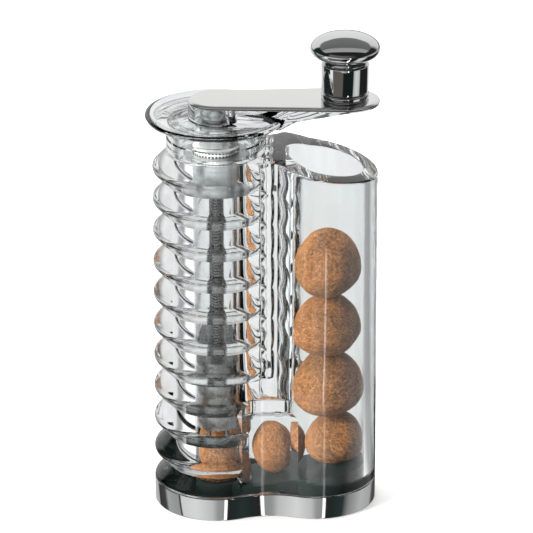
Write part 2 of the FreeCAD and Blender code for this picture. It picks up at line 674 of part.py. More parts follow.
def make_base_ring():
    body = new_body("base_ring")
    outside = flat_sketch(body, "ring_outside")
    add_outline(outside, "foot")
    pad(body, outside, "trim_height", "ring")
    inside = flat_sketch(body, "ring_inside", "trim_height")
    add_outline(inside, "foot", "trim_wall")
    pocket(body, inside, "trim_height", "ring_opening")
    document.recompute()
    ring = body.Tip
    rounding = body.newObject("PartDesign::Fillet", "ring_edges")
    rounding.Base = (ring, outer_edges(ring.Shape, (0.0, value("trim_height"))))
    bind(rounding, Radius="trim_round")
    return body


def round_rims(body, name, radius, rims):
    """Rounds a turned body's rims, each found by its own radius and height."""
    document.recompute()
    base = body.Tip
    places = [(value(rim), value(height)) for rim, height in rims]
    edges = []
    for index, edge in enumerate(base.Shape.Edges, start=1):
        if edge.Curve.TypeId == "Part::GeomCircle":
            at = (edge.Curve.Radius, edge.Curve.Center.z)
            if any(math.dist(at, place) < 1e-4 for place in places):
                edges.append(f"Edge{index}")
    rounding = body.newObject("PartDesign::Fillet", name)
    rounding.Base = (base, edges)
    bind(rounding, Radius=radius)


def outer_edges(shape, heights):
    """Names of a shape's level edges at the given heights that belong to its outside."""
    names = []
    reach = {}
    for index, edge in enumerate(shape.Edges, start=1):
        box = edge.BoundBox
        level = [h for h in heights if abs(box.ZMin - h) < 1e-4 and abs(box.ZMax - h) < 1e-4]
        if level and edge.Curve.TypeId == "Part::GeomCircle":
            key = (round(edge.Curve.Center.x, 3), round(edge.Curve.Center.y, 3), level[0])
            reach.setdefault(key, []).append((edge.Curve.Radius, index))
    for (x, y, _), found in reach.items():
        waist = abs(y) > 1e-3
        pick = min(found) if waist else max(found)
        names.append(f"Edge{pick[1]}")
    return names


def make_base_insert():
    body = new_body("base_insert")
    plate = flat_sketch(body, "plate_outline", "plate_bottom")
    add_outline(plate, "foot", "trim_wall")
    pad(body, plate, "plate_thickness", "plate")
    storage_plug = flat_sketch(body, "storage_plug_outline", "housing_bottom")
    add_circle(storage_plug, "storage_bore_radius - plug_clearance", "storage_bore_x")
    pad(body, storage_plug, "ramp_height - housing_bottom", "storage_plug")
    bridge = flat_sketch(body, "bridge_outline", "housing_bottom")
    edge = "(window_width / 2 - plug_clearance)"
    add_box(bridge, "0", f"-{edge}", "storage_bore_x", edge)
    pad(body, bridge, "ramp_height - housing_bottom", "bridge")
    slope = upright_sketch(body, "ramp_outline")
    add_polygon(slope, [
        ("0", "ramp_height - ramp_end_x * tan(ramp_angle)"), ("ramp_end_x", "ramp_height"),
        ("ramp_end_x", f"ramp_height + {CUT_MARGIN}"), ("0", f"ramp_height + {CUT_MARGIN}"),
    ])
    pocket_across(body, slope, "ramp")
    mill_plug = flat_sketch(body, "mill_plug_outline", "housing_bottom")
    add_circle(mill_plug, "mill_bore_radius - plug_clearance")
    pad(body, mill_plug, "mill_floor - housing_bottom", "mill_plug")
    hole(body, "disc_seat", "seat_radius", "mill_floor", "ramp_height", upwards=True)
    hole(body, "outlet", "outlet_radius", "mill_floor", "mill_floor")
    for name, x, y in base_screw_places():
        hole(body, name + "_hole", "base_screw_radius", "housing_bottom", "plate_thickness", x, y)
        hole(body, name + "_sink", "base_screw_head", "plate_bottom", "base_screw_sink",
             x, y, upwards=True)
    pilot = hole(body, "disc_pilot", "disc_screw_radius", "mill_floor", "disc_screw_depth",
                 "0", "disc_screw_circle")
    repeat_round(body, pilot, len(DISC_SCREW_TURNS))
    return body


def make_base_screws():
    steps = [
        ("base_screw_head", "plate_bottom", "plate_bottom + base_screw_sink"),
        ("base_screw_radius", "plate_bottom + base_screw_sink", "base_screw_top"),
    ]
    return group("base_screws", [stepped_pin(name, steps, x, y) for name, x, y in base_screw_places()])


GRATE_RINGS = [(1, 6), (2, 12), (3, 18)]  # ring number from the middle and its holes


def make_grater_disc():
    body = new_body("grater_disc")
    sheet = flat_sketch(body, "disc_outline", "mill_floor")
    add_circle(sheet, "disc_radius")
    pad(body, sheet, "disc_thickness", "disc")
    for ring, count in GRATE_RINGS:
        grate = hole(body, f"grate_ring_{ring}", "grate_hole_radius", "disc_top", "disc_thickness",
                     f"{ring} * grate_ring_step")
        repeat_round(body, grate, count)
    screw = hole(body, "disc_screw_hole", "disc_screw_radius", "disc_top", "disc_thickness",
                 "0", "disc_screw_circle")
    repeat_round(body, screw, len(DISC_SCREW_TURNS))
    return body


def make_disc_screws():
    steps = [
        ("disc_screw_radius", "mill_floor - disc_screw_depth", "disc_top"),
        ("disc_screw_head", "disc_top", "disc_top + disc_screw_rise"),
    ]
    screws = []
    for turn in DISC_SCREW_TURNS:
        x, y = f"disc_screw_circle * cos({turn})", f"disc_screw_circle * sin({turn})"
        screws.append(stepped_pin(f"disc_screw_{turn}", steps, x, y))
    return group("disc_screws", screws)


# The bearing


def make_collar():
    body = new_body("mill_collar")
    inside = "bush_radius + bush_clearance"
    spun(body, [
        (inside, "collar_bottom"), ("collar_radius", "collar_bottom"),
        ("collar_radius", "housing_top - collar_flange"), ("mill_bore_radius", "housing_top - collar_flange"),
        ("mill_bore_radius", "housing_top"), (inside, "housing_top"),
    ])


def make_neck():
    body = new_body("neck_ring")
    top = "dish_bottom - neck_gap"
    spun(body, [("neck_bore", "housing_top"), ("neck_radius", "housing_top"),
                ("neck_radius", top), ("neck_bore", top)])


def make_bush():
    body = new_body("drive_bush")
    groove = "bush_radius - clip_groove"
    clip_bottom = "bush_clip_top - clip_thickness"
    spun(body, [
        ("0", "bush_bottom"), ("bush_radius", "bush_bottom"), ("bush_radius", clip_bottom),
        (groove, clip_bottom), (groove, "bush_clip_top"), ("bush_radius", "bush_clip_top"),
        ("bush_radius", "housing_top"), ("bush_flange_radius", "housing_top"),
        ("bush_flange_radius", "bush_top"), ("0", "bush_top"),
    ])
    way = flat_sketch(body, "hexagon_outline", "bush_top")
    add_hexagon(way, "shaft_flats + shaft_clearance")
    pocket(body, way, "bush_top", "hexagon_way")


def make_clip(label, inner, outer, low):
    """A flat retaining clip, open at one side."""
    body = new_body(label)
    ring = flat_sketch(body, label + "_outline", low)
    add_circle(ring, outer)
    add_circle(ring, inner)
    pad(body, ring, "clip_thickness", label + "_ring")
    gap = flat_sketch(body, label + "_gap", low)
    add_box(gap, "0", "-clip_rim / 2", outer + " + clip_rim", "clip_rim / 2")
    pocket(body, gap, "clip_thickness", label + "_opening", upwards=True)
    return body


def make_thrust_washer():
    body = new_body("thrust_washer")
    spun(body, [("washer_bore", "washer_bottom"), ("washer_radius", "washer_bottom"),
                ("washer_radius", "bush_bottom"), ("washer_bore", "bush_bottom")])


# The shaft, its spring and the plunger


def make_shaft():
    bar = document.addObject("Part::Prism", "shaft_bar")
    bar.Polygon = 6
    bind(bar, Circumradius="shaft_flats / sqrt(3)", Height="shaft_top - cup_bottom",
         Placement__Base__z="cup_bottom")
    end = cylinder("shaft_end", "shaft_end_radius", "nut_bottom - clip_gap", "cup_bottom")
    joined = document.addObject("Part::MultiFuse", "shaft_solid")
    joined.Shapes = [bar, end]
    thread = cylinder("shaft_thread", "hub_screw_radius", "hub_screw_end", "shaft_top")
    less("drive_shaft", joined, thread)


def make_spring():
    body = new_body("drive_spring")
    wire = upright_sketch(body, "wire_outline")
    add_circle(wire, "spring_wire", "spring_radius", "cup_top + spring_wire")
    coil = body.newObject("PartDesign::AdditiveHelix", "coil")
    coil.Profile = wire
    coil.ReferenceAxis = (wire, ["V_Axis"])
    coil.Mode = "height-turns-angle"
    bind(coil, Turns="spring_turns", Height="washer_bottom - cup_top - 2 * spring_wire")


def make_cup():
    body = new_body("pressure_cup")
    inside = "cup_radius - cup_wall"
    spun(body, [
        ("0", "cup_top - cup_roof"), (inside, "cup_top - cup_roof"), (inside, "cup_bottom"),
        ("cup_radius", "cup_bottom"), ("cup_radius", "cup_top - cup_round"),
        ("cup_radius - cup_round", "cup_top"), ("0", "cup_top"),
    ])
    way = flat_sketch(body, "hexagon_outline", "cup_top")
    add_hexagon(way, "shaft_flats")
    pocket(body, way, "cup_roof", "hexagon_way")


CLAW_TURNS = [0, 60, 120, 180, 240, 300]


def make_claw_plate():
    body = new_body("claw_plate")
    plate = flat_sketch(body, "plate_outline", "cup_bottom")
    add_circle(plate, "cup_radius - cup_wall")
    pad(body, plate, "claw_plate_thickness", "plate")
    way = flat_sketch(body, "hexagon_outline", "cup_bottom")
    add_hexagon(way, "shaft_flats")
    pocket(body, way, "claw_plate_thickness", "hexagon_way", upwards=True)
    claw = hole(body, "claw_hole", "claw_radius", "cup_bottom", "claw_plate_thickness",
                "claw_circle", upwards=True)
    repeat_round(body, claw, len(CLAW_TURNS))


def make_claws():
    claws = []
    for turn in CLAW_TURNS:
        x, y = f"claw_circle * cos({turn})", f"claw_circle * sin({turn})"
        tip = "cup_bottom - claw_length"
        shank = cylinder(f"claw_shank_{turn}", "claw_radius", f"{tip} + claw_point",
                         "cup_bottom + claw_plate_thickness", x, y)
        point = document.addObject("Part::Cone", f"claw_point_{turn}")
        point.Radius1 = 0
        bind(point, Radius2="claw_radius", Height="claw_point", Placement__Base__x=x,
             Placement__Base__y=y, Placement__Base__z=tip)
        claw = document.addObject("Part::MultiFuse", f"claw_{turn}")
        claw.Shapes = [shank, point]
        claws.append(claw)
    group("plunger_claws", claws)


def make_nut():
    nut = document.addObject("Part::Prism", "nut_bar")
    nut.Polygon = 6
    bind(nut, Circumradius="nut_radius", Height="nut_thickness", Placement__Base__z="nut_bottom")
    less("plunger_nut", nut, cylinder("nut_thread", "shaft_end_radius", "nut_bottom", "cup_bottom"))


# The crank


def make_arm():
    body = new_body("crank_arm")
    dish = flat_sketch(body, "dish_outline", "dish_bottom")
    add_circle(dish, "dish_radius")
    pad(body, dish, "dish_height", "dish")
    hollow = flat_sketch(body, "dish_hollow_outline", "dish_top")
    add_circle(hollow, "dish_radius - dish_rim")
    pocket(body, hollow, "dish_height - dish_floor", "dish_hollow")
    arm = flat_sketch(body, "arm_outline", "dish_bottom")
    add_arm_outline(arm)
    pad(body, arm, "arm_top - dish_bottom", "arm")
    under = upright_sketch(body, "arm_underside_outline")
    far, below = f"arm_tip_x + {CUT_MARGIN}", f"dish_bottom - {CUT_MARGIN}"
    add_polygon(under, [
        ("dish_radius", below), (far, below), (far, "arm_lip_bottom"),
        ("arm_wedge_end", "arm_lip_bottom"), ("dish_radius", "arm_root_bottom"),
    ])
    pocket_across(body, under, "arm_underside")
    hole(body, "hub_well", "hub_well_radius", "arm_top", "arm_top - dish_floor_top")
    way = flat_sketch(body, "hexagon_outline", "dish_floor_top")
    add_hexagon(way, "spigot_flats")
    pocket(body, way, "dish_floor", "hexagon_way")
    hole(body, "spindle_seat_hole", "spindle_head_radius", "arm_top", "spindle_head", "knob_axis_x")


def make_strip():
    body = new_body("crank_strip")
    outline = flat_sketch(body, "strip_outline", "arm_top")
    add_arm_outline(outline)
    pad(body, outline, "strip_thickness", "strip")
    document.recompute()
    strip, top = body.Tip, value("strip_top")
    edges = [f"Edge{i}" for i, edge in enumerate(strip.Shape.Edges, start=1)
             if edge.BoundBox.ZMin > top - 1e-4]
    rounding = body.newObject("PartDesign::Fillet", "strip_edge")
    rounding.Base = (strip, edges)
    bind(rounding, Radius="strip_round")
    hole(body, "spindle_hole", "spindle_radius", "strip_top", "strip_thickness", "knob_axis_x")


def make_hub():
    """A tapered hub with splines, and the hexagon on its top that turns the arm."""
    body = new_body("crank_hub")
    spun(body, [("0", "bush_top"), ("hub_radius", "bush_top"), ("hub_top_radius", "dish_bottom"),
                ("0", "dish_bottom")])
    spline = flat_sketch(body, "spline_outline", "bush_top")
    root, rim = "(hub_top_radius - spline_depth)", "(hub_radius + spline_depth)"
    half = f"(({rim} - {root}) * 0.4)"
    add_polygon(spline, [(root, "0"), (rim, f"-1 * {half}"), (rim, half)])
    cut = pocket(body, spline, "dish_bottom - bush_top", "spline", upwards=True)
    repeat_round(body, cut, "hub_splines")
    spigot = flat_sketch(body, "spigot_outline", "dish_bottom")
    add_hexagon(spigot, "spigot_flats")
    pad(body, spigot, "dish_floor - clip_gap", "spigot")
    way = flat_sketch(body, "hexagon_outline", "bush_top")
    add_hexagon(way, "shaft_flats")
    pocket(body, way, "hub_hex_depth", "hexagon_way", upwards=True)
    hole(body, "screw_way", "hub_screw_radius", "dish_floor_top", "dish_floor_top - bush_top")


def make_hub_screw():
    """The screw whose domed head clamps the dish's floor on the hub."""
    body = new_body("hub_screw")
    low = "dish_floor_top + hub_screw_belly"
    high = low + " + hub_screw_belly"
    spun(body, [
        ("0", "hub_screw_end"), ("hub_screw_radius", "hub_screw_end"),
        ("hub_screw_radius", "dish_floor_top"), ("hub_screw_foot", "dish_floor_top"),
        ("hub_screw_head", low), ("hub_screw_head", high), ("hub_screw_crown", "hub_screw_top"),
        ("0", "hub_screw_top"),
    ])
    round_rims(body, "head_belly", "hub_screw_round", [("hub_screw_head", low), ("hub_screw_head", high)])


# The knob


def at_knob(body):
    bind(body, Placement__Base__x="knob_axis_x")
    return body


def make_cap():
    """The mushroom cap: flared out from the stem, rounded at its widest and over its crown."""
    cap = at_knob(new_body("knob_cap"))
    flare_top, top = "knob_top + cap_flare", "knob_top + cap_height"
    band_top = flare_top + " + cap_band"
    spun(cap, [
        ("0", "knob_top"), ("cap_neck", "knob_top"), ("cap_radius", flare_top), ("cap_radius", band_top),
        ("cap_crown", top), ("0", top),
    ], "cap")
    round_rims(cap, "cap_belly", "cap_belly_round", [("cap_radius", flare_top), ("cap_radius", band_top)])
    round_rims(cap, "cap_crown_edge", "cap_crown_round", [("cap_crown", top)])


def make_knob():
    washer = at_knob(new_body("knob_washer"))
    spun(washer, [("spindle_radius", "strip_top"), ("knob_washer_radius", "strip_top"),
                  ("knob_washer_radius", "washer_top"), ("spindle_radius", "washer_top")], "washer")
    stem = at_knob(new_body("knob_stem"))
    bore = "spindle_radius + spindle_clearance"
    narrow = "knob_radius - knob_chamfer"
    spun(stem, [
        (bore, "knob_bottom"), (narrow, "knob_bottom"), ("knob_radius", "knob_bottom + knob_chamfer"),
        ("knob_radius", "knob_top - knob_chamfer"), (narrow, "knob_top"), ("knob_well_radius", "knob_top"),
        ("knob_well_radius", "well_bottom"), (bore, "well_bottom"),
    ], "stem")
    make_cap()
    groove = "spindle_radius - clip_groove"
    spindle = at_knob(new_body("knob_spindle"))
    spun(spindle, [
        ("0", "spindle_seat"), ("spindle_head_radius", "spindle_seat"), ("spindle_head_radius", "arm_top"),
        ("spindle_radius", "arm_top"), ("spindle_radius", "spindle_clip_bottom"),
        (groove, "spindle_clip_bottom"), (groove, "spindle_clip_top"),
        ("spindle_radius", "spindle_clip_top"), ("spindle_radius", "spindle_top"), ("0", "spindle_top"),
    ], "spindle")
    at_knob(make_clip("spindle_clip", groove, "spindle_radius + clip_rim", "spindle_clip_bottom"))


# The nutmegs


def ellipsoid(name, radii, centre):
    """A nutmeg's plain form, with its three half sizes and its middle."""
    shape = document.addObject("Part::Ellipsoid", name)
    shape.Angle1, shape.Angle2, shape.Angle3 = -90, 90, FULL_TURN
    bind(shape, Radius2=radii[0], Radius3=radii[1], Radius1=radii[2])
    bind(shape, Placement__Base__x=centre[0], Placement__Base__y=centre[1], Placement__Base__z=centre[2])
    return shape


def on_ramp(x, length, height):
    """Height of the middle of a nutmeg that touches the ramp at x."""
    surface = f"ramp_height - (ramp_end_x - ({x})) * tan(ramp_angle)"
    return f"{surface} + sqrt(({length} / 2)^2 * tan(ramp_angle)^2 + ({height} / 2)^2) + nutmeg_gap"


def make_stored_nutmegs():
    """Four nutmegs stacked in the store, each resting on the one below."""
    middle = None
    below = None
    for place in ("bottom", "third", "second", "top"):
        radius = f"(storage_bore_radius - {place}_nutmeg_clearance)"
        height = f"{place}_nutmeg_height"
        x = f"storage_bore_x + {place}_nutmeg_shift"
        if below is None:
            middle = on_ramp(x, f"(2 * {radius})", height)
        else:
            middle = f"{middle} + ({below} + {height}) / 2 + nutmeg_gap"
        below = height
        keep(ellipsoid(f"{place}_nutmeg", (radius, radius, height + " / 2"), (x, "0", middle)),
             f"{place}_nutmeg")


def make_loose_nutmegs():
    """The nutmeg in the window and the half-ground one on the disc."""
    length, depth, height = "feeding_nutmeg_length", "feeding_nutmeg_depth", "feeding_nutmeg_height"
    keep(ellipsoid("feeding_nutmeg", (length + " / 2", depth + " / 2", height + " / 2"),
                   ("feeding_nutmeg_x", "0", on_ramp("feeding_nutmeg_x", length, height))),
         "feeding_nutmeg")
    whole = ellipsoid("ground_nutmeg_whole",
                      ("ground_nutmeg_length / 2", "ground_nutmeg_depth / 2", "ground_nutmeg_height / 2"),
                      ("0", "0", "disc_top + ground_nutmeg_left - ground_nutmeg_height / 2"))
    used = cylinder("ground_away", "mill_bore_radius", "0", "disc_top")
    less("ground_nutmeg", whole, used)


def make_all():
    make_housing()
    make_base_ring()
    make_base_insert()
    make_base_screws()
    make_grater_disc()
    make_disc_screws()
    make_collar()
    make_neck()
    make_bush()
    make_clip("bush_clip", "bush_radius - clip_groove", "bush_radius + clip_rim",
              "bush_clip_top - clip_thickness")
    make_thrust_washer()
    make_shaft()
    make_spring()
    make_cup()
    make_claw_plate()
    make_claws()
    make_nut()
    make_arm()
    make_strip()
    make_hub()
    make_hub_screw()
    make_knob()
    make_stored_nutmegs()
    make_loose_nutmegs()


def check():
    """Stops unless every object is up to date, every cut took something away and every solid is sound."""
    for thing in document.Objects:
        if {"Invalid", "Error"} & set(thing.State):
            raise RuntimeError(f"{thing.Name} is not computed: {thing.State}")
        if thing.TypeId in ("PartDesign::Pocket", "PartDesign::Groove"):
            taken = thing.BaseFeature.Shape.Volume - thing.Shape.Volume
            if taken < 0.01:
                raise RuntimeError(f"{thing.Name} cuts nothing")
    for node in nodes:
        shape = node.Shape
        if shape.isNull() or not shape.isValid() or not shape.Solids or shape.Volume <= 0:
            raise RuntimeError(f"{node.Label} is not a sound solid")


def write_parts():
    os.makedirs("parts", exist_ok=True)
    for node in nodes:
        node.Shape.exportStep(os.path.join("parts", node.Label + ".step"))
        print(f"{node.Label}: {len(node.Shape.Solids)} solids, {node.Shape.Volume:.1f} mm3")


make_all()
document.recompute()
check()
write_parts()
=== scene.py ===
import math

import bmesh
import bpy
import numpy as np
from mathutils import Matrix, Vector, noise


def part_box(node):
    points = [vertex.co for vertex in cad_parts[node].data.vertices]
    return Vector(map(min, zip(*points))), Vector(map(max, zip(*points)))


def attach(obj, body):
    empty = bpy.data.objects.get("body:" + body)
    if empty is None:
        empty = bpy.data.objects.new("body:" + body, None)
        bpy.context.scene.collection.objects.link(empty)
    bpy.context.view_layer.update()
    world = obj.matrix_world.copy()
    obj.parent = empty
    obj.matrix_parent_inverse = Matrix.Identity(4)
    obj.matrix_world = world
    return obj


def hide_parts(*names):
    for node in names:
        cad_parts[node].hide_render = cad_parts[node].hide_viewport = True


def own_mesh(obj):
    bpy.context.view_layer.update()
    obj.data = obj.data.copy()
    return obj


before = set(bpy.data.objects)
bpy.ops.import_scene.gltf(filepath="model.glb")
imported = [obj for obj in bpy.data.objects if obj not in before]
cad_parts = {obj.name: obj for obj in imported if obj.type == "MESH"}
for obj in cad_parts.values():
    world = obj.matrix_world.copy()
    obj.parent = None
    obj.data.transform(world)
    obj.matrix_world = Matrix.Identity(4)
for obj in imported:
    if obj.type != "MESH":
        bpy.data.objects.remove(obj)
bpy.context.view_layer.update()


# ---- Clear body -------------------------------------------------------------------------------
# One heavy acrylic moulding with two lobes: a ribbed mill and a smooth store with a slanted mouth.
# The ribs run round the mill and over the waist, down to the plain webs beside the feed window, and
# fade out on the store. Both bores are polished, and the window at their foot joins them.

MM = 0.001
MILL_CREST, MILL_BORE = 23.5, 12.0
STORE_X, STORE_RADIUS = 37.0, 22.4
STORE_BORE_X, STORE_BORE = 39.9, 14.0
BODY_WAIST, RING_WAIST, RING_WALL = 5.0, 28.0, 1.5
BODY_TOP, BODY_FOOT, RING_TOP = 139.6, 3.0, 9.1
BEAD_PITCH, BEADS, CREST_ROUND, FLANK = 12.44, 11, 2.5, math.radians(43)
FLANK_DEPTHS = (1.6, 2.4, 3.1, 3.9)
WAIST_TURN, WAIST_BLEND, WAIST_WAVE, RIB_FADE = math.radians(47.3), math.radians(5), 0.9, (19.0, 26.0)
WEB_TOP, WEB_SETBACK, WEB_MILL_ROOT, WEB_STORE_ROOT, WEB_ROOT_Y = 47.5, 0.3, 18.12, 19.4, 12.946
MOUTH_START, MOUTH_SLOPE = 24.8, math.radians(21.1)
MOUTH_BEND, MOUTH_END_SLOPE = 34.5, math.radians(10.8)
WINDOW_TOP, WINDOW_HALF, WINDOW_CORNER = 39.5, 11.0, 3.0
RIM_ROUND, LOBE_ROUND, BORE_ROUND, RIM_CHANGE = 1.0, 0.35, 0.6, (20.0, 24.0)
RING_GAP, RING_SEAM, WEB_SINK = 0.05, 0.1, 0.08


def waist_centre(waist):
    """Where the waist's arc has its centre, and how far that is from the mill's and the store's axes."""
    mill, store = MILL_CREST + waist, STORE_RADIUS + waist
    x = (mill ** 2 - store ** 2 + STORE_X ** 2) / (2 * STORE_X)
    return x, math.sqrt(mill ** 2 - x ** 2), mill, store


def outline(waist, steps=1.0):
    """Points of the two-lobed outline, counter-clockwise from the back of the mill, with outward normals."""
    x, y = waist_centre(waist)[:2]
    mill_turn, store_turn = math.atan2(y, x), math.atan2(y, x - STORE_X)
    to_store, to_mill = math.atan2(y, STORE_X - x), math.pi - mill_turn
    arcs = [
        ((0, 0), MILL_CREST, mill_turn, 2 * math.pi - mill_turn, 150, 1),
        ((x, -y), waist, to_mill, to_store, 44, -1),
        ((STORE_X, 0), STORE_RADIUS, -store_turn, store_turn, 110, 1),
        ((x, y), waist, -to_store, -to_mill, 44, -1),
    ]
    points, normals = [], []
    for centre, radius, start, end, count, side in arcs:
        turns = np.linspace(start, end, int(count * steps), endpoint=False)
        ways = np.stack([np.cos(turns), np.sin(turns)], 1)
        points.append(np.array(centre) + radius * ways)
        normals.append(side * ways)
    return np.concatenate(points), np.concatenate(normals)


def waist_shares(points):
    """0 on the mill's lobe, rising to 1 where it runs into the waist."""
    turn = np.arctan2(np.abs(points[:, 1]), points[:, 0])
    beyond_mill = np.hypot(points[:, 0], points[:, 1]) > MILL_CREST + 0.01
    return np.where(beyond_mill, 1.0, np.clip(1 - (turn - WAIST_TURN) / WAIST_BLEND, 0, 1))


def new_piece(name, vertices, faces, unit=MM):
    """A mesh object at the origin from points in millimetres."""
    mesh = bpy.data.meshes.new(name)
    mesh.from_pydata([tuple(v) for v in np.asarray(vertices, float) * unit], [], faces)
    mesh.update()
    made = bpy.data.objects.new(name, mesh)
    bpy.context.scene.collection.objects.link(made)
    return made


def lofted(rings, caps=True):
    """Faces that join equal rings of points into a closed skin, rings listed from the bottom up."""
    count = len(rings[0])
    faces = []
    for level in range(len(rings) - 1):
        low, high = level * count, (level + 1) * count
        for i in range(count):
            j = (i + 1) % count
            faces.append((low + i, low + j, high + j, high + i))
    if caps:
        faces.append(tuple(reversed(range(count))))
        faces.append(tuple(range((len(rings) - 1) * count, len(rings) * count)))
    return np.concatenate(rings), faces


def settle(made, angle=35):
    """Merges doubles, turns the faces outwards and shades smooth up to an angle."""
    work = bmesh.new()
    work.from_mesh(made.data)
    bmesh.ops.remove_doubles(work, verts=work.verts, dist=1e-7)
    bmesh.ops.recalc_face_normals(work, faces=work.faces)
    work.to_mesh(made.data)
    work.free()
    made.data.shade_smooth()
    made.data.set_sharp_from_angle(angle=math.radians(angle))
    made.data.update()
    return made


def plain_mesh(made):
    """Turns what a piece's modifiers make of it into its own mesh."""
    bpy.context.view_layer.update()
    seen = made.evaluated_get(bpy.context.evaluated_depsgraph_get())
    mesh = bpy.data.meshes.new_from_object(seen)
    made.modifiers.clear()
    made.data = mesh


def carve(made, tools, operation="DIFFERENCE"):
    """Cuts or joins closed tools into a piece and leaves a plain mesh."""
    for tool in tools:
        cut = made.modifiers.new(tool.name, "BOOLEAN")
        cut.operation, cut.object, cut.solver = operation, tool, "EXACT"
    plain_mesh(made)
    for tool in tools:
        bpy.data.objects.remove(tool)
    return made


def mouth_height(x):
    """The body's top: level over the mill, then two slopes over the store."""
    steep = np.clip(x - MOUTH_START, 0, MOUTH_BEND - MOUTH_START) * math.tan(MOUTH_SLOPE)
    gentle = np.maximum(0, x - MOUTH_BEND) * math.tan(MOUTH_END_SLOPE)
    return BODY_TOP - steep - gentle


def rib_profile(groove, steps=9):
    """Heights from a rib's crest and depths there, from cusp to cusp: straight flanks on a round crest."""
    rise, sink = CREST_ROUND * math.sin(FLANK), CREST_ROUND * (1 - math.cos(FLANK))
    depths = [sink + 0.25, *FLANK_DEPTHS, groove]
    flank = [(rise + (depth - sink) / math.tan(FLANK), depth) for depth in depths]
    turns = np.linspace(-FLANK, FLANK, steps + 1)
    crest = [(CREST_ROUND * math.sin(t), CREST_ROUND * (1 - math.cos(t))) for t in turns]
    return [(-height, depth) for height, depth in reversed(flank)] + crest + flank


def body_rings():
    """Rings of the outside: skirt in the base ring, ribbed wall, rounded rim.

    The ribs are full on the mill. Over the waist they soften to a wave, which ends on the store's flank.
    """
    skirt_points, skirt_normals = outline(RING_WAIST)
    points, normals = outline(BODY_WAIST)
    start = BODY_TOP - BEADS * BEAD_PITCH
    half = BEAD_PITCH / 2
    rise, sink = CREST_ROUND * math.sin(FLANK), CREST_ROUND * (1 - math.cos(FLANK))
    groove = sink + (half - rise) * math.tan(FLANK)
    x, on_waist = points[:, 0], waist_shares(points)
    on_store = np.clip((x - RIB_FADE[0]) / (RIB_FADE[1] - RIB_FADE[0]), 0, 1)
    wave = WAIST_WAVE * on_waist * (1 - on_store)
    plain = np.clip((x - RIM_CHANGE[0]) / (RIM_CHANGE[1] - RIM_CHANGE[0]), 0, 1)
    rounding = LOBE_ROUND + (RIM_ROUND - LOBE_ROUND) * plain
    profile = rib_profile(groove)
    crests = [start + BEAD_PITCH * (bead + 0.5) for bead in range(BEADS)]
    levels = [(crest + rise, depth) for crest in crests for rise, depth in profile[:-1]]
    levels = [level for level in levels if level[0] > RING_TOP + 2 * RING_SEAM] + [(BODY_TOP, groove)]
    last = BODY_TOP - BEAD_PITCH

    def ring(inset, height):
        at = points - normals * np.broadcast_to(inset, len(points))[:, None]
        return np.column_stack([at, np.broadcast_to(height, len(points))])

    def sunk(height, depth):
        phase = 2 * math.pi * (height - start - half) / BEAD_PITCH
        return depth * (1 - on_waist) + wave * (1 - math.cos(phase)) / 2

    skirt = skirt_points - skirt_normals * (RING_WALL + RING_GAP)
    low, high = RING_TOP - RING_SEAM, RING_TOP + RING_SEAM
    rings = [np.column_stack([skirt, np.full(len(skirt), height)]) for height in (BODY_FOOT, low)]
    rings += [ring(3 * RING_SEAM, low), ring(0.0, high)]
    for height, depth in levels:
        inset = sunk(height, depth)
        top = mouth_height((points - normals * inset[:, None])[:, 0]) - rounding
        share = np.clip((height - last) / (BODY_TOP - last), 0, 1)
        rings.append(ring(inset, height if height < last else last + share * (top - last)))
    for turn in np.linspace(0, math.pi / 2, 6)[1:]:
        inset = sunk(BODY_TOP, groove) + rounding * (1 - math.cos(turn))
        x = (points - normals * inset[:, None])[:, 0]
        rings.append(ring(inset, mouth_height(x) - rounding * (1 - math.sin(turn))))
    return rings


def bore_tool(name, x, radius, flare=0.0, count=144):
    """A cylinder that cuts a bore from below the foot; with a flare it also rounds the slanted mouth."""
    turns = np.linspace(0, 2 * math.pi, count, endpoint=False)
    ways = np.stack([np.cos(turns), np.sin(turns)], 1)

    def ring(reach, height):
        at = np.array([x, 0.0]) + ways * reach
        return np.column_stack([at, height(at[:, 0])])

    rings = [ring(radius, lambda place: np.full(len(place), BODY_FOOT - 2))]
    if flare:
        for turn in np.linspace(0, math.pi / 2, 6):
            rings.append(ring(radius + flare * (1 - math.cos(turn)),
                              lambda place: mouth_height(place) - flare * (1 - math.sin(turn))))
        rings.append(ring(radius + flare, lambda place: mouth_height(place) + 8.0))
    else:
        rings.append(ring(radius, lambda place: np.full(len(place), BODY_TOP + 5)))
    return settle(new_piece(name, *lofted(rings)))


def web_tool(side):
    """A web that fills the waist beside the window: side is 1 at the back and -1 in front."""
    x, y, mill, store = waist_centre(RING_WAIST)
    reach = RING_WAIST + WEB_SETBACK
    turns = np.linspace(math.atan2(y, -x), math.atan2(y, STORE_X - x), 30)
    face = np.column_stack([x + reach * np.cos(turns), reach * np.sin(turns) - y])
    to_mill, to_store = np.array([x, -y]) / mill, np.array([x - STORE_X, -y]) / store
    roots = [
        np.array([STORE_X, 0.0]) + to_store * WEB_STORE_ROOT,
        (STORE_X - math.sqrt(WEB_STORE_ROOT ** 2 - WEB_ROOT_Y ** 2), -WEB_ROOT_Y),
        (math.sqrt(WEB_MILL_ROOT ** 2 - WEB_ROOT_Y ** 2), -WEB_ROOT_Y),
        to_mill * WEB_MILL_ROOT,
    ]
    plan = np.concatenate([face, np.array(roots)]) * np.array([1, -side])
    rings = [np.column_stack([plan, np.full(len(plan), height)]) for height in (RING_TOP - WEB_SINK, WEB_TOP)]
    return settle(new_piece("web_tool", *lofted(rings)))


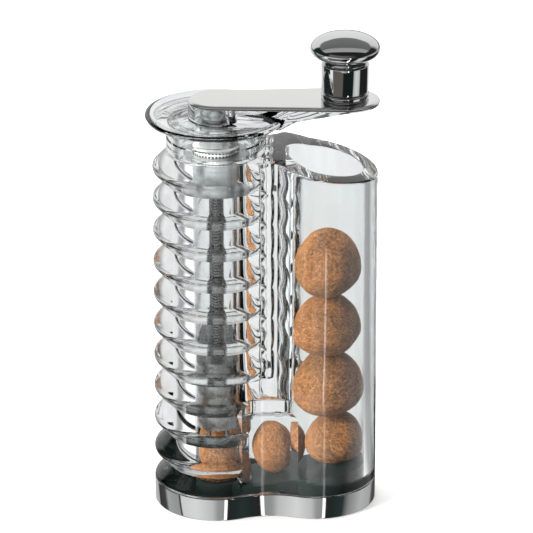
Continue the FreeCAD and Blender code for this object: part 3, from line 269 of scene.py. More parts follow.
def window_tool():
    """The window's block, with its upper corners rounded."""
    low, inner, start = BODY_FOOT - 2, WINDOW_HALF - WINDOW_CORNER, WINDOW_TOP - WINDOW_CORNER
    turns = np.linspace(0, math.pi / 2, 8)
    upper = [(inner + WINDOW_CORNER * math.cos(t), start + WINDOW_CORNER * math.sin(t)) for t in turns]
    shape = [(-WINDOW_HALF, low), (WINDOW_HALF, low), *upper, *[(-y, z) for y, z in reversed(upper)]]
    return settle(new_piece("window_tool", *lofted(
        [np.array([(x, y, z) for y, z in shape]) for x in (0.0, STORE_BORE_X)]
    )))


def body_skin(rings):
    """Joins the rings and closes them: one face at the foot, one for each slope at the top."""
    vertices, faces = lofted(rings, caps=False)
    count = len(rings[0])
    top = (len(rings) - 1) * count
    steep = [i for i in range(count) if rings[-1][i, 0] > MOUTH_START]
    gentle = [i for i in range(count) if rings[-1][i, 0] > MOUTH_BEND]
    faces.append(tuple(reversed(range(count))))
    slopes = [
        range(gentle[0], gentle[-1] + 1),
        [*range(steep[0], gentle[0] + 1), *range(gentle[-1], steep[-1] + 1)],
        [*range(steep[-1], count), *range(0, steep[0] + 1)],
    ]
    faces += [tuple(top + i for i in slope) for slope in slopes]
    return vertices, faces


body = settle(new_piece("clear_body", *body_skin(body_rings())))
carve(body, [web_tool(-1), web_tool(1)], "UNION")
carve(body, [
    bore_tool("mill_tool", 0.0, MILL_BORE),
    bore_tool("store_tool", STORE_BORE_X, STORE_BORE, BORE_ROUND),
    window_tool(),
])
settle(body, 30)


def linear(text):
    """An sRGB hex colour as the linear values that a shader takes."""
    parts = [int(text[i:i + 2], 16) / 255 for i in (1, 3, 5)]
    return [p / 12.92 if p <= 0.04045 else ((p + 0.055) / 1.055) ** 2.4 for p in parts] + [1.0]


def add(tree, kind, settings=None, **inputs):
    """Adds a node: settings are its own, inputs are its sockets, each a value or what to link."""
    made = tree.nodes.new(kind)
    for name, setting in (settings or {}).items():
        setattr(made, name, setting)
    for name, given in inputs.items():
        socket = made.inputs[int(name[1:])] if name[0] == "_" else made.inputs[name.replace("_", " ")]
        if isinstance(given, bpy.types.NodeSocket):
            tree.links.new(given, socket)
        else:
            socket.default_value = given
    return made


def new_material(name):
    """An empty material and its node tree."""
    made = bpy.data.materials.new(name)
    made.use_nodes = True
    made.node_tree.nodes.clear()
    return made, made.node_tree


def finish_with(tree, shader):
    add(tree, "ShaderNodeOutputMaterial", Surface=shader.outputs[0])


def dress(made, material):
    made.data.materials.clear()
    made.data.materials.append(material)
    return made


# Cast acrylic, polished: clear as glass, with the faint flow ripple of a thick moulding.
ACRYLIC_IOR, RIPPLE_MM, RIPPLE_RISE = 1.49, 9.0, 0.4
acrylic, tree = new_material("acrylic_moulded_clear")
place = add(tree, "ShaderNodeTexCoord")
ripple = add(tree, "ShaderNodeTexNoise", Vector=place.outputs["Object"], Scale=1 / (RIPPLE_MM * MM),
             Detail=1.0)
swell = add(tree, "ShaderNodeBump", Height=ripple.outputs[0], Strength=0.08, Distance=RIPPLE_RISE * MM)
finish_with(tree, add(
    tree, "ShaderNodeBsdfPrincipled", Base_Color=linear("#F7FAFA"), Roughness=0.0, IOR=ACRYLIC_IOR,
    Transmission_Weight=1.0, Normal=swell.outputs[0],
))
dress(body, acrylic)
body.visible_shadow = False
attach(body, "root")
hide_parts("body_housing")


# ---- Base ring --------------------------------------------------------------------------------
# A band of plated metal pressed round the foot of the body. Its edges are slightly rolled, and the
# plating is bright chrome.

RING_ROLL, RING_DETAIL = 0.55, 1.4


def ring_section():
    """Inset and height pairs round the band's section, its outer edges rolled."""
    turns = np.linspace(0, math.pi / 2, 5)
    section = [(RING_WALL, 0.0), (RING_WALL, RING_TOP)]
    section += [(RING_ROLL * (1 - math.sin(t)), RING_TOP - RING_ROLL * (1 - math.cos(t))) for t in turns]
    section += [(RING_ROLL * (1 - math.cos(t)), RING_ROLL * (1 - math.sin(t))) for t in turns]
    return section


points, normals = outline(RING_WAIST, RING_DETAIL)
rings = [np.column_stack([points - normals * inset, np.full(len(points), height)])
         for inset, height in ring_section()]
rings.append(rings[0])
base_ring = settle(new_piece("chromed_base_ring", *lofted(rings, caps=False)), 50)


def mottled(name, colour, patch_mm, detail, shine, metallic=1.0):
    """A material whose roughness wanders between the two values of shine, over patches of a real size."""
    made, tree = new_material(name)
    place = add(tree, "ShaderNodeTexCoord")
    patches = add(tree, "ShaderNodeTexNoise", Vector=place.outputs["Object"], Scale=1 / (patch_mm * MM),
                  Detail=detail)
    rough = add(tree, "ShaderNodeMapRange", Value=patches.outputs[0], _1=0.3, _2=0.7, _3=shine[0],
                _4=shine[1])
    finish_with(tree, add(
        tree, "ShaderNodeBsdfPrincipled", Base_Color=linear(colour), Metallic=metallic,
        Roughness=rough.outputs[0],
    ))
    return made


# Bright chrome plating: a mirror, a little darker than silver, with a trace of polishing haze.
HAZE_MM = 3.85
chrome = mottled("chrome_plated_bright", "#D9DADA", HAZE_MM, 3.0, (0.02, 0.07))
dress(base_ring, chrome)
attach(base_ring, "root")
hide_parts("base_ring")


# ---- Neck ring --------------------------------------------------------------------------------
# A clear acrylic ring, moulded on its own, stands on the mill lobe under the crank's dish. A shallow
# groove runs round its middle.

NECK_OUTER, NECK_INNER, NECK_FOOT, NECK_TOP = 18.3, 14.0, BODY_TOP + 0.05, 150.3
NECK_GROOVE, NECK_GROOVE_DEPTH, NECK_BEVEL = (144.6, 146.4), 0.5, 0.4


def turned(name, profile, count=144, centre=(0.0, 0.0), closed=False):
    """Turns radius and height pairs about an upright axis; a closed profile makes a ring."""
    turns = np.linspace(0, 2 * math.pi, count, endpoint=False)
    ways = np.stack([np.cos(turns), np.sin(turns)], 1)
    rings = [np.column_stack([np.array(centre) + ways * r, np.full(count, z)]) for r, z in profile]
    if closed:
        rings.append(rings[0])
    return settle(new_piece(name, *lofted(rings, caps=not closed)), 40)


neck_groove = NECK_OUTER - NECK_GROOVE_DEPTH
neck = turned("clear_neck_ring", [
    (NECK_INNER, NECK_FOOT), (NECK_OUTER - NECK_BEVEL, NECK_FOOT), (NECK_OUTER, NECK_FOOT + NECK_BEVEL),
    (NECK_OUTER, NECK_GROOVE[0]), (neck_groove, NECK_GROOVE[0] + NECK_BEVEL),
    (neck_groove, NECK_GROOVE[1] - NECK_BEVEL), (NECK_OUTER, NECK_GROOVE[1]),
    (NECK_OUTER, NECK_TOP - 0.5), (NECK_OUTER - 0.5, NECK_TOP), (NECK_INNER, NECK_TOP),
], closed=True)
dress(neck, acrylic)
neck.visible_shadow = False
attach(neck, "root")
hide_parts("neck_ring")


# ---- Crank arm --------------------------------------------------------------------------------
# The crank's own acrylic moulding turns over the neck ring: a shallow dish with a raised rim, and a
# wedge-shaped arm that runs out to the knob under the metal strip.

ARM_HUB_RADIUS, ARM_RADIUS, ARM_LENGTH = 10.2, 12.6, 47.2
DISH_RADIUS, DISH_BOTTOM, DISH_TOP = 26.0, 150.6, 154.0
ARM_TOP, STRIP_TOP, ARM_LIP = 158.2, 159.4, 0.7
ARM_ROOT, WEDGE_START, WEDGE_END = 153.3, 23.5, 48.0
# Inset and rise of the rings that round the arm's lower edge.
ARM_EDGE = ((0.5, 0.01), (0.12, 0.13), (0.0, 0.41))
WELL_RADIUS, FLOOR_TOP, SPIGOT_FLATS, SPIGOT_GAP = 7.9, 151.8, 8.0, 0.05


def arm_outline(inset=0.0, count=48):
    """The arm in plan: a small arc round the hub, a large one at the knob and two tangents."""
    near, far = ARM_HUB_RADIUS - inset, ARM_RADIUS - inset
    lean = math.acos((near - far) / ARM_LENGTH)
    turns = np.linspace(lean, 2 * math.pi - lean, count)
    hub_end = np.column_stack([near * np.cos(turns), near * np.sin(turns)])
    turns = np.linspace(-lean, lean, count)
    knob_end = np.column_stack([ARM_LENGTH + far * np.cos(turns), far * np.sin(turns)])
    share = np.linspace(0, 1, 9)[1:-1, None]
    front = hub_end[-1] + (knob_end[0] - hub_end[-1]) * share
    back = knob_end[-1] + (hub_end[0] - knob_end[-1]) * share
    return np.concatenate([hub_end, front, knob_end, back])


def underside(x):
    """The arm's underside: level over the dish, then a wedge, then a thin lip."""
    lip = ARM_TOP - ARM_LIP
    wedge = ARM_ROOT + (x - DISH_RADIUS) * (lip - ARM_ROOT) / (WEDGE_END - DISH_RADIUS)
    return np.where(x < WEDGE_START, DISH_BOTTOM, np.minimum(wedge, lip))


dish = turned("clear_crank_arm", [
    (18.6, DISH_BOTTOM), (22.4, DISH_BOTTOM), (23.6, DISH_BOTTOM + 0.15), (24.6, DISH_BOTTOM + 0.6),
    (25.4, DISH_BOTTOM + 1.3), (25.85, DISH_BOTTOM + 2.1), (26.0, DISH_TOP - 0.8), (25.7, DISH_TOP - 0.25),
    (24.9, DISH_TOP), (24.0, DISH_TOP - 0.1), (23.2, DISH_TOP - 0.6), (21.8, DISH_TOP - 1.5),
    (20.0, DISH_BOTTOM + 1.3), (10.0, DISH_BOTTOM + 1.2),
])
rings = []
for inset, rise in ARM_EDGE:
    at = arm_outline(inset)
    rings.append(np.column_stack([at, underside(at[:, 0]) + rise]))
edge = arm_outline()
rings.append(np.column_stack([edge, np.full(len(edge), ARM_TOP - 0.02)]))
arm = settle(new_piece("arm_tool", *lofted(rings)), 40)
carve(dish, [arm], "UNION")
spigot_corner = SPIGOT_FLATS / math.sqrt(3) + SPIGOT_GAP
carve(dish, [
    turned("well_tool", [(WELL_RADIUS, FLOOR_TOP), (WELL_RADIUS, ARM_TOP + 1)]),
    turned("spigot_tool", [(spigot_corner, DISH_BOTTOM - 1), (spigot_corner, FLOOR_TOP + 1)], count=6),
])
settle(dish, 35)
dress(dish, acrylic)
dish.visible_shadow = False
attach(dish, "crank")
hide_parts("crank_arm")


# ---- Crank strip ------------------------------------------------------------------------------
# A plated strip with round ends and a rolled edge covers the arm from the hub's screw to the knob.
# It is brushed to a satin finish all over and left plain.

STRIP_ROLL, STRIP_ROLL_WIDTH, STRIP_CROWN, STRIP_STEP = 1.05, 2.6, 0.12, 1.4
rings = [np.column_stack([edge, np.full(len(edge), ARM_TOP + 0.01)])]
for turn in np.linspace(0, math.pi / 2, 9):
    at = arm_outline(STRIP_ROLL_WIDTH * (1 - math.cos(turn)))
    level = STRIP_TOP - STRIP_CROWN - STRIP_ROLL * (1 - math.sin(turn))
    rings.append(np.column_stack([at, np.full(len(at), level)]))
for step in range(1, 6):
    at = arm_outline(STRIP_ROLL_WIDTH + step * STRIP_STEP)
    level = STRIP_TOP - STRIP_CROWN * (1 - step / 5) ** 2
    rings.append(np.column_stack([at, np.full(len(at), level)]))
strip = settle(new_piece("crank_strip_plate", *lofted(rings)), 40)

# Satin chrome: brushed along the arm before plating, so its shine is drawn out across the grain.
BRUSH_MM = (0.25, 8.0)
satin, tree = new_material("chrome_plated_satin")
place = add(tree, "ShaderNodeTexCoord")
grain = add(tree, "ShaderNodeMapping", Vector=place.outputs["Object"],
            Scale=(1 / (BRUSH_MM[1] * MM), 1 / (BRUSH_MM[0] * MM), 1 / (BRUSH_MM[0] * MM)))
lines = add(tree, "ShaderNodeTexNoise", Vector=grain.outputs[0], Scale=1.0, Detail=3.0)
rough = add(tree, "ShaderNodeMapRange", Value=lines.outputs[0], _1=0.3, _2=0.7, _3=0.12, _4=0.22)
swell = add(tree, "ShaderNodeBump", Height=lines.outputs[0], Strength=0.05, Distance=0.1 * MM)
finish_with(tree, add(
    tree, "ShaderNodeBsdfPrincipled", Base_Color=linear("#E2E2E1"), Metallic=1.0, Roughness=rough.outputs[0],
    Normal=swell.outputs[0],
))
dress(strip, satin)
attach(strip, "crank")
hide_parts("crank_strip")


# ---- Knob -------------------------------------------------------------------------------------
# A turned stem on a spindle, with a mushroom cap pressed over it and a washer under it, all bright
# chrome.

KNOB, KNOB_BORE = (47.0, 0.0), 2.6


def arc(centre, radius, start, end, count=7):
    """Radius and height pairs along an arc, angles in degrees from the outward direction."""
    turns = np.radians(np.linspace(start, end, count))
    return [(centre[0] + radius * math.cos(t), centre[1] + radius * math.sin(t)) for t in turns]


washer = turned("knob_washer_ring", [
    (KNOB_BORE, STRIP_TOP + 0.02), (8.3, STRIP_TOP + 0.02), *arc((8.2, 160.2), 0.6, -90, 0, 5),
    *arc((8.2, 161.3), 0.6, 0, 90, 5), (KNOB_BORE, 161.9),
], centre=KNOB, closed=True)
stem = turned("knob_stem_turned", [
    (KNOB_BORE, 162.1), *arc((8.1, 162.7), 0.6, -90, 0, 5), *arc((8.1, 172.4), 0.6, 0, 60, 4),
    (7.9, 173.05), (7.9, 173.38), (5.5, 173.38), (5.5, 168.4), (KNOB_BORE, 168.4),
], centre=KNOB, closed=True)
cap = turned("knob_cap_mushroom", [
    (4.0, 173.42), (8.4, 173.42), (9.0, 174.3), (10.0, 175.1), (11.0, 175.75), (12.0, 176.5), (12.5, 177.2),
    (12.78, 178.0), (12.78, 178.6), (12.6, 179.4), (12.2, 180.1), (11.5, 180.9), (10.5, 181.65), (9.3, 182.3),
    (8.0, 182.8), (6.0, 183.4), (4.0, 183.8), (2.0, 184.03), (0.6, 184.1),
], centre=KNOB)
for made, node in ((washer, "knob_washer"), (stem, "knob_stem"), (cap, "knob_cap")):
    dress(made, chrome)
    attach(made, "crank" if made is washer else "knob")
    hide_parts(node)


# ---- Plunger, grater disc, screws and clips ---------------------------------------------------
# The plunger with its claws, the shaft, the perforated disc and the small fasteners are stainless
# steel. Their solids are right as they are and take a finish here.

# Stainless steel, drawn and tumbled: darker than the plating, with a broken grey sheen.
TUMBLE_MM = 2.38
steel = mottled("stainless_steel_drawn", "#8E8F8E", TUMBLE_MM, 4.0, (0.16, 0.38))
for name in ("grater_disc", "pressure_cup", "claw_plate", "plunger_claws", "plunger_nut", "drive_shaft",
             "base_screws", "disc_screws", "thrust_washer", "knob_spindle", "bush_clip", "spindle_clip"):
    dress(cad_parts[name], steel)


# ---- Base insert ------------------------------------------------------------------------------
# A black plastic moulding closes the foot and ramps the nutmegs towards the window. Its solid is
# right as it is.

# Black ABS, moulded with a fine spark-eroded grain: dark with a faint green cast and a soft sheen.
SPARK_MM = 0.4
abs_black, tree = new_material("abs_moulded_black")
place = add(tree, "ShaderNodeTexCoord")
grain = add(tree, "ShaderNodeTexNoise", Vector=place.outputs["Object"], Scale=1 / (SPARK_MM * MM), Detail=2.0)
swell = add(tree, "ShaderNodeBump", Height=grain.outputs[0], Strength=0.12, Distance=0.1 * MM)
finish_with(tree, add(
    tree, "ShaderNodeBsdfPrincipled", Base_Color=linear("#1F2725"), Roughness=0.3, Normal=swell.outputs[0],
))
dress(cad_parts["base_insert"], abs_black)


# ---- Mill collar and hub screw ----------------------------------------------------------------
# The collar in the mill's mouth is turned aluminium, and its solid is right as it is. The screw that
# holds the arm and hub to the shaft has a domed head of the same metal, under the strip.

# Aluminium turned and bead-blasted: a pale, soft sheen. Its turning marks are drawn coarse, to show.
# The wave texture has WAVE_BANDS bands to a unit of its scale.
TURNING_MM, WAVE_BANDS = 2.2, 10 / math.pi
aluminium, tree = new_material("aluminium_turned_satin")
place = add(tree, "ShaderNodeTexCoord")
rows = add(tree, "ShaderNodeTexWave", {"bands_direction": "Z"}, Vector=place.outputs["Object"],
           Scale=1 / (TURNING_MM * MM * WAVE_BANDS), Distortion=0.4)
rough = add(tree, "ShaderNodeMapRange", Value=rows.outputs[1], _1=0.0, _2=1.0, _3=0.32, _4=0.44)
finish_with(tree, add(
    tree, "ShaderNodeBsdfPrincipled", Base_Color=linear("#E8E9EA"), Metallic=1.0, Roughness=rough.outputs[0],
))
dress(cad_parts["mill_collar"], aluminium)

SHANK_RADIUS, SHANK_LOW, SHANK_HIGH = 1.5, 146.0, 151.9
dome = turned("hub_screw_dome", [
    (0.3, 151.82), (5.0, 151.82), (5.5, 152.4), (5.85, 153.4), (5.9, 154.4), (5.75, 155.4), (5.3, 156.3),
    (4.5, 157.05), (3.3, 157.45), (1.8, 157.6), (0.3, 157.62),
], count=96)
shank = turned("hub_screw_shank", [(SHANK_RADIUS, SHANK_LOW), (SHANK_RADIUS, SHANK_HIGH)], count=24)
for made in (dome, shank):
    dress(made, aluminium)
    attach(made, "crank")
    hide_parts("hub_screw")


# ---- Crank hub --------------------------------------------------------------------------------
# A pressed steel hub under the dish, with teeth round its top. The plain sleeve below them has the
# collar's pale satin finish. A six-sided spigot drives the arm, and the hub lifts with the crank.

TEETH, HUB_BORE, HUB_RADIUS, HUB_TOP_RADIUS, SHANK_GAP = 28, 3.0, 6.35, 6.15, 0.1
HUB_LOW, TEETH_LOW, HUB_HIGH, SPIGOT_TOP, SPIGOT_CORNER = 142.02, 147.8, 150.58, 151.7, 4.57
# A tooth's section at its foot and its head: root, apex and half its width.
TOOTH_FOOT, TOOTH_HEAD = (6.2, 7.85, 0.7), (6.1, 6.7, 0.62)

# Stainless steel, pressed and left dull: a mid grey whose soft sheen shows the teeth.
PRESSED_MM = 1.67
dull_steel = mottled("stainless_steel_pressed_dull", "#B8B9B8", PRESSED_MM, 3.0, (0.14, 0.26))

# Sets a piece round the z axis on a core, a given number of times.
around = bpy.data.node_groups.new("pieces_round_a_core", "GeometryNodeTree")
for name, kind in (("Core", "Geometry"), ("Piece", "Object"), ("Count", "Int"), ("Finish", "Material")):
    around.interface.new_socket(name, in_out="INPUT", socket_type="NodeSocket" + kind)
around.interface.new_socket("Result", in_out="OUTPUT", socket_type="NodeSocketGeometry")
given = add(around, "NodeGroupInput")
step = add(around, "ShaderNodeMath", {"operation": "DIVIDE"}, _0=2 * math.pi, _1=given.outputs["Count"])
order = add(around, "GeometryNodeInputIndex")
turn = add(around, "ShaderNodeMath", {"operation": "MULTIPLY"}, _0=order.outputs[0], _1=step.outputs[0])
aim = add(around, "ShaderNodeCombineXYZ", Z=turn.outputs[0])
places = add(around, "GeometryNodePoints", Count=given.outputs["Count"])
piece = add(around, "GeometryNodeObjectInfo", Object=given.outputs["Piece"])
placed = add(around, "GeometryNodeInstanceOnPoints", Points=places.outputs[0],
             Instance=piece.outputs["Geometry"], Rotation=aim.outputs[0])
joined = add(around, "GeometryNodeJoinGeometry", Geometry=placed.outputs[0])
around.links.new(given.outputs["Core"], joined.inputs[0])
real = add(around, "GeometryNodeRealizeInstances", Geometry=joined.outputs[0])
finished = add(around, "GeometryNodeSetMaterial", Geometry=real.outputs[0], Material=given.outputs["Finish"])
add(around, "NodeGroupOutput", Result=finished.outputs[0])


def pieces_round(core, piece, count, material):
    """Runs the node group on a core and leaves a plain mesh."""
    repeat = core.modifiers.new("pieces", "NODES")
    repeat.node_group = around
    sockets = {item.name: item.identifier for item in around.interface.items_tree if item.in_out == "INPUT"}
    for name, value in (("Piece", piece), ("Count", count), ("Finish", material)):
        repeat[sockets[name]] = value
    plain_mesh(core)
    bpy.data.objects.remove(piece)


def tooth_section(section, height):
    """A tooth's triangle at one height."""
    root, apex, half = section
    return np.array([(root, -half, height), (apex, 0, height), (root, half, height)])


sleeve = turned("crank_hub_sleeve", [
    (HUB_BORE, HUB_LOW), (HUB_RADIUS, HUB_LOW), (HUB_RADIUS, TEETH_LOW), (HUB_BORE, TEETH_LOW),
], closed=True)
dress(sleeve, aluminium)
hub = turned("crank_hub_teeth", [
    (HUB_BORE, TEETH_LOW), (HUB_RADIUS, TEETH_LOW), (HUB_TOP_RADIUS, HUB_HIGH), (HUB_BORE, HUB_HIGH),
], closed=True)
spigot = turned("spigot", [(SPIGOT_CORNER, HUB_HIGH - 0.5), (SPIGOT_CORNER, SPIGOT_TOP)], count=6)
carve(hub, [spigot], "UNION")
bore = SHANK_RADIUS + SHANK_GAP
carve(hub, [turned("hub_bore", [(bore, HUB_HIGH - 1), (bore, SPIGOT_TOP + 1)], count=24)])
tooth = [tooth_section(TOOTH_FOOT, TEETH_LOW), tooth_section(TOOTH_HEAD, HUB_HIGH)]
pieces_round(hub, settle(new_piece("hub_tooth", *lofted(tooth))), TEETH, dull_steel)
for made in (hub, sleeve):
    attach(made, "crank")
    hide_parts("crank_hub")


# ---- Drive bush -------------------------------------------------------------------------------
# A white plastic bush turns in the collar and lets the shaft slide. Its solid is right as it is, and
# two rows of dark blocks round its flange are painted shade where its notches are.

NOTCHES, NOTCH_ROWS, NOTCH_REACH, NOTCH_SIZE = 44, (139.95, 141.3), (8.4, 8.68), (0.75, 0.7)

# Acetal, moulded: white and slightly waxy.
CLOUD_MM = 3.33
acetal = mottled("acetal_moulded_white", "#D2D2CE", CLOUD_MM, 2.0, (0.35, 0.5), 0.0)


def shaded_notch_block(name, row):
    """A dark block of painted shade where a notch is cut, at one height of the flange."""
    (near, far), wide, tall = NOTCH_REACH, NOTCH_SIZE[0] / 2, NOTCH_SIZE[1] / 2
    corners = ((near, -wide), (far, -wide), (far, wide), (near, wide))
    levels = [np.array([(x, y, row + side * tall) for x, y in corners]) for side in (-1, 1)]
    return settle(new_piece(name, *lofted(levels)))


# Black blocks in two rows: painted shade in the flange's notches.
notch_shade = shaded_notch_block("bush_notches", NOTCH_ROWS[0])
pair = carve(shaded_notch_block("notch_pair", NOTCH_ROWS[0]), [shaded_notch_block("upper_notch", NOTCH_ROWS[1])], "UNION")
pieces_round(notch_shade, pair, NOTCHES, abs_black)
bush = dress(bpy.data.objects.new("bush_body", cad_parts["drive_bush"].data.copy()), acetal)
bpy.context.scene.collection.objects.link(bush)
for made, kind in ((bush, "white_acetal"), (notch_shade, "black_abs")):
    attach(made, "rotor")
    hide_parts("drive_bush")


# ---- Drive spring -----------------------------------------------------------------------------
# Close-wound from fine steel wire round the shaft, between the thrust washer and the cup. It shortens
# when the crank is pulled up, but is drawn here at rest.

COIL_RADIUS, WIRE_RADIUS, COILS, COIL_LOW, COIL_HIGH = 3.25, 0.35, 56, 55.05, 125.15
COIL_STEPS, WIRE_SIDES, PULLED_SHARE = 24, 8, 0.57


def coil():
    """Rings of the wire from the lower end to the upper end."""
    rings = []
    sides = np.linspace(0, 2 * math.pi, WIRE_SIDES, endpoint=False)
    reach = COIL_RADIUS + WIRE_RADIUS * np.cos(sides)
    for share in np.linspace(0, 1, COILS * COIL_STEPS + 1):
        turn = 2 * math.pi * COILS * share
        rise = COIL_LOW + WIRE_RADIUS + share * (COIL_HIGH - COIL_LOW - 2 * WIRE_RADIUS)
        rings.append(np.column_stack([reach * math.cos(turn), reach * math.sin(turn),
                                      rise + WIRE_RADIUS * np.sin(sides)]))
    return rings


spring = dress(settle(new_piece("drive_spring_coil", *lofted(coil())), 60), steel)
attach(spring, "rotor")
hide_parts("drive_spring")
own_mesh(spring)


# ---- Nutmegs ----------------------------------------------------------------------------------
# Whole dried seeds: oval, blunter at one end, lumpy, with a fine net of raised veins. The one on the
# disc is half ground away, flat underneath.

NUTMEGS = {
    # node: pitch and turn of the long axis in degrees, and a seed
    "top_nutmeg": (24, 10, 3),
    "second_nutmeg": (-8, -25, 11),
    "third_nutmeg": (6, 35, 7),
    "bottom_nutmeg": (-62, 20, 19),
    "feeding_nutmeg": (12, 62, 23),
    "ground_nutmeg": (0, 15, 31),
}
VEIN_MM, VEIN_RISE, VEIN_MIDDLE, VEIN_SHARPNESS = 1.0, 0.14, 0.55, 3.2
LUMP_MM, LUMP_RISE, LUMP_MIDDLE = 8.0, 0.7, 0.35
FINE_MM, FINE_RISE, WARP_MM, WARP_REACH = 0.45, 0.07, 2.2, 0.9
WHOLE_SHARE, BLUNT_END, BLUNT_ENDS, GRAIN_STRETCH, SEED_STEP = 1.02, 0.035, 0.02, 0.45, 7.3
SEED_ROWS, SEED_COLUMNS, GROUND_HALF, DISC_GAP, BOX_PLAY = 150, 220, 8.0, 0.02, 0.05


def nutmeg(name, node, pitch, turn, seed):
    """A vein-netted seed that fills the node's own box."""
    low, high = [np.array(corner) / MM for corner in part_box(node)]
    middle, half = (low + high) / 2, (high - low) / 2
    whole = half.copy()
    if node == "ground_nutmeg":
        whole[2] = GROUND_HALF
        middle[2] = high[2] - whole[2]
    aim = Matrix.Rotation(math.radians(turn), 3, "Z") @ Matrix.Rotation(math.radians(-pitch), 3, "Y")
    back = aim.inverted()
    points = []
    grain = []
    for row in range(SEED_ROWS + 1):
        lat = math.pi * row / SEED_ROWS
        for column in range(SEED_COLUMNS):
            lon = 2 * math.pi * column / SEED_COLUMNS
            own = Vector((math.cos(lat), math.sin(lat) * math.cos(lon), math.sin(lat) * math.sin(lon)))
            way = aim @ own
            blunt = 1 + BLUNT_END * own.x ** 3 - BLUNT_ENDS * own.x ** 2
            at = Vector((way.x * whole[0], way.y * whole[1], way.z * whole[2])) * blunt * WHOLE_SHARE
            local = back @ at
            stretched = Vector((local.x * GRAIN_STRETCH, local.y, local.z)) + Vector((seed,) * 3) * SEED_STEP
            lump = noise.noise(local / LUMP_MM + Vector((seed, 0, 0)))
            warp = noise.noise_vector(stretched / WARP_MM) * WARP_REACH
            web = noise.noise(stretched / VEIN_MM + warp)
            veins = 1 - min(1.0, abs(web) * VEIN_SHARPNESS)
            fine = noise.noise(stretched / FINE_MM)
            rise = LUMP_RISE * (lump - LUMP_MIDDLE) + VEIN_RISE * (veins - VEIN_MIDDLE) + FINE_RISE * fine
            at = at + way.normalized() * rise
            points.append((at.x + middle[0], at.y + middle[1], at.z + middle[2]))
            grain.append((stretched.x, stretched.y, stretched.z, veins))
    faces = []
    for row in range(0, SEED_ROWS * SEED_COLUMNS, SEED_COLUMNS):
        for c in range(SEED_COLUMNS):
            d = (c + 1) % SEED_COLUMNS
            faces.append((row + c, row + d, row + SEED_COLUMNS + d, row + SEED_COLUMNS + c))
    points = np.array(points)
    if node == "ground_nutmeg":
        points[:, 2] = np.maximum(points[:, 2], low[2] + DISC_GAP)
    points = np.clip(points, low - BOX_PLAY, high + BOX_PLAY)
    made = new_piece(name, points, faces)
    where = made.data.attributes.new("grain", "FLOAT_VECTOR", "POINT")
    where.data.foreach_set("vector", np.array([g[:3] for g in grain], np.float32).ravel())
    raised = made.data.attributes.new("veins", "FLOAT", "POINT")
    raised.data.foreach_set("value", np.array([g[3] for g in grain], np.float32))
    settle(made, 80)
    return made


# Dry nutmeg seed coat: woody and dull, with painted light on the raised veins and painted shade in the
# hollows.
PATCHES_PER_MM, FLECKS_PER_MM, FLECK_RISE = 0.11, 3.4, 0.4
seed_coat, tree = new_material("nutmeg_seed_dry")
where = add(tree, "ShaderNodeAttribute", {"attribute_name": "grain"})
raised = add(tree, "ShaderNodeAttribute", {"attribute_name": "veins"})
patch = add(tree, "ShaderNodeTexNoise", Vector=where.outputs["Vector"], Scale=PATCHES_PER_MM, Detail=3.0,
            Roughness=0.6)
fleck = add(tree, "ShaderNodeTexNoise", Vector=where.outputs["Vector"], Scale=FLECKS_PER_MM, Detail=5.0,
            Roughness=0.78)
ground = add(tree, "ShaderNodeValToRGB", Fac=patch.outputs[0])
dark_patch, light_patch = ground.color_ramp.elements
dark_patch.position, dark_patch.color = 0.3, linear("#3F2415")
light_patch.position, light_patch.color = 0.72, linear("#84502C")
speck = add(tree, "ShaderNodeMapRange", Value=fleck.outputs[0], _1=0.44, _2=0.62, _3=0.0, _4=1.0)
tone = add(tree, "ShaderNodeMix", {"data_type": "RGBA", "blend_type": "MIX"},
           _0=speck.outputs[0], _6=ground.outputs[0], _7=linear("#C08C5C"))
# Painted shade in the hollows and painted light on the raised veins: the colour is scaled by vein height.
vein_light_and_shade = add(tree, "ShaderNodeMapRange", Value=raised.outputs["Fac"], _1=0.0, _2=1.0, _3=0.62, _4=1.2)
coat_with_painted_shade = add(tree, "ShaderNodeMix", {"data_type": "RGBA", "blend_type": "MULTIPLY"},
            _0=1.0, _6=tone.outputs[2], _7=vein_light_and_shade.outputs[0])
swell = add(tree, "ShaderNodeBump", Height=fleck.outputs[0], Strength=0.7, Distance=FLECK_RISE * MM)
finish_with(tree, add(
    tree, "ShaderNodeBsdfPrincipled", Base_Color=coat_with_painted_shade.outputs[2], Roughness=0.62, Normal=swell.outputs[0],
))
for node, (pitch, turn, seed) in NUTMEGS.items():
    made = dress(nutmeg(node + "_seed", node, pitch, turn, seed), seed_coat)
    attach(made, "root")
    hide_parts(node)


# ---- Studio -----------------------------------------------------------------------------------
# A white table in a white room, with one soft box above and one to the left. Cards of grey, black and
# white round the table, and slats over it, show only in the metal and in the clear pieces.


def tones(tree, share, stops, interpolation="LINEAR"):
    """A ramp over a share from 0 to 1, from pairs of share and tone; a tone is a grey or a colour."""
    ramp = add(tree, "ShaderNodeValToRGB", Fac=share)
    ramp.color_ramp.interpolation = interpolation
    elements = ramp.color_ramp.elements
    for index, (at, tone) in enumerate(stops):
        stop = elements[index] if index < 2 else elements.new(at)
        stop.position, stop.color = at, linear(tone) if isinstance(tone, str) else (tone, tone, tone, 1.0)
    return ramp.outputs[0]


def bearing_share(tree, x, y):
    """Bearing round the object from 0 to 1: 0.25 is its left, 0.5 behind it and 0.75 its right."""
    bearing = add(tree, "ShaderNodeMath", {"operation": "ARCTAN2"}, _0=x, _1=y)
    return add(tree, "ShaderNodeMapRange", Value=bearing.outputs[0], _1=-math.pi, _2=math.pi, _3=0.0,
               _4=1.0).outputs[0]


def by_bearing(stops):
    """Turns pairs of degrees (0 in front, 180 behind, rising to the right) and tone into a ramp's stops."""
    shares = sorted(((-degrees / 360) % 1.0, tone) for degrees, tone in stops)
    joint = shares[0][1]
    return [(0.0, joint), *shares, (1.0, joint)]


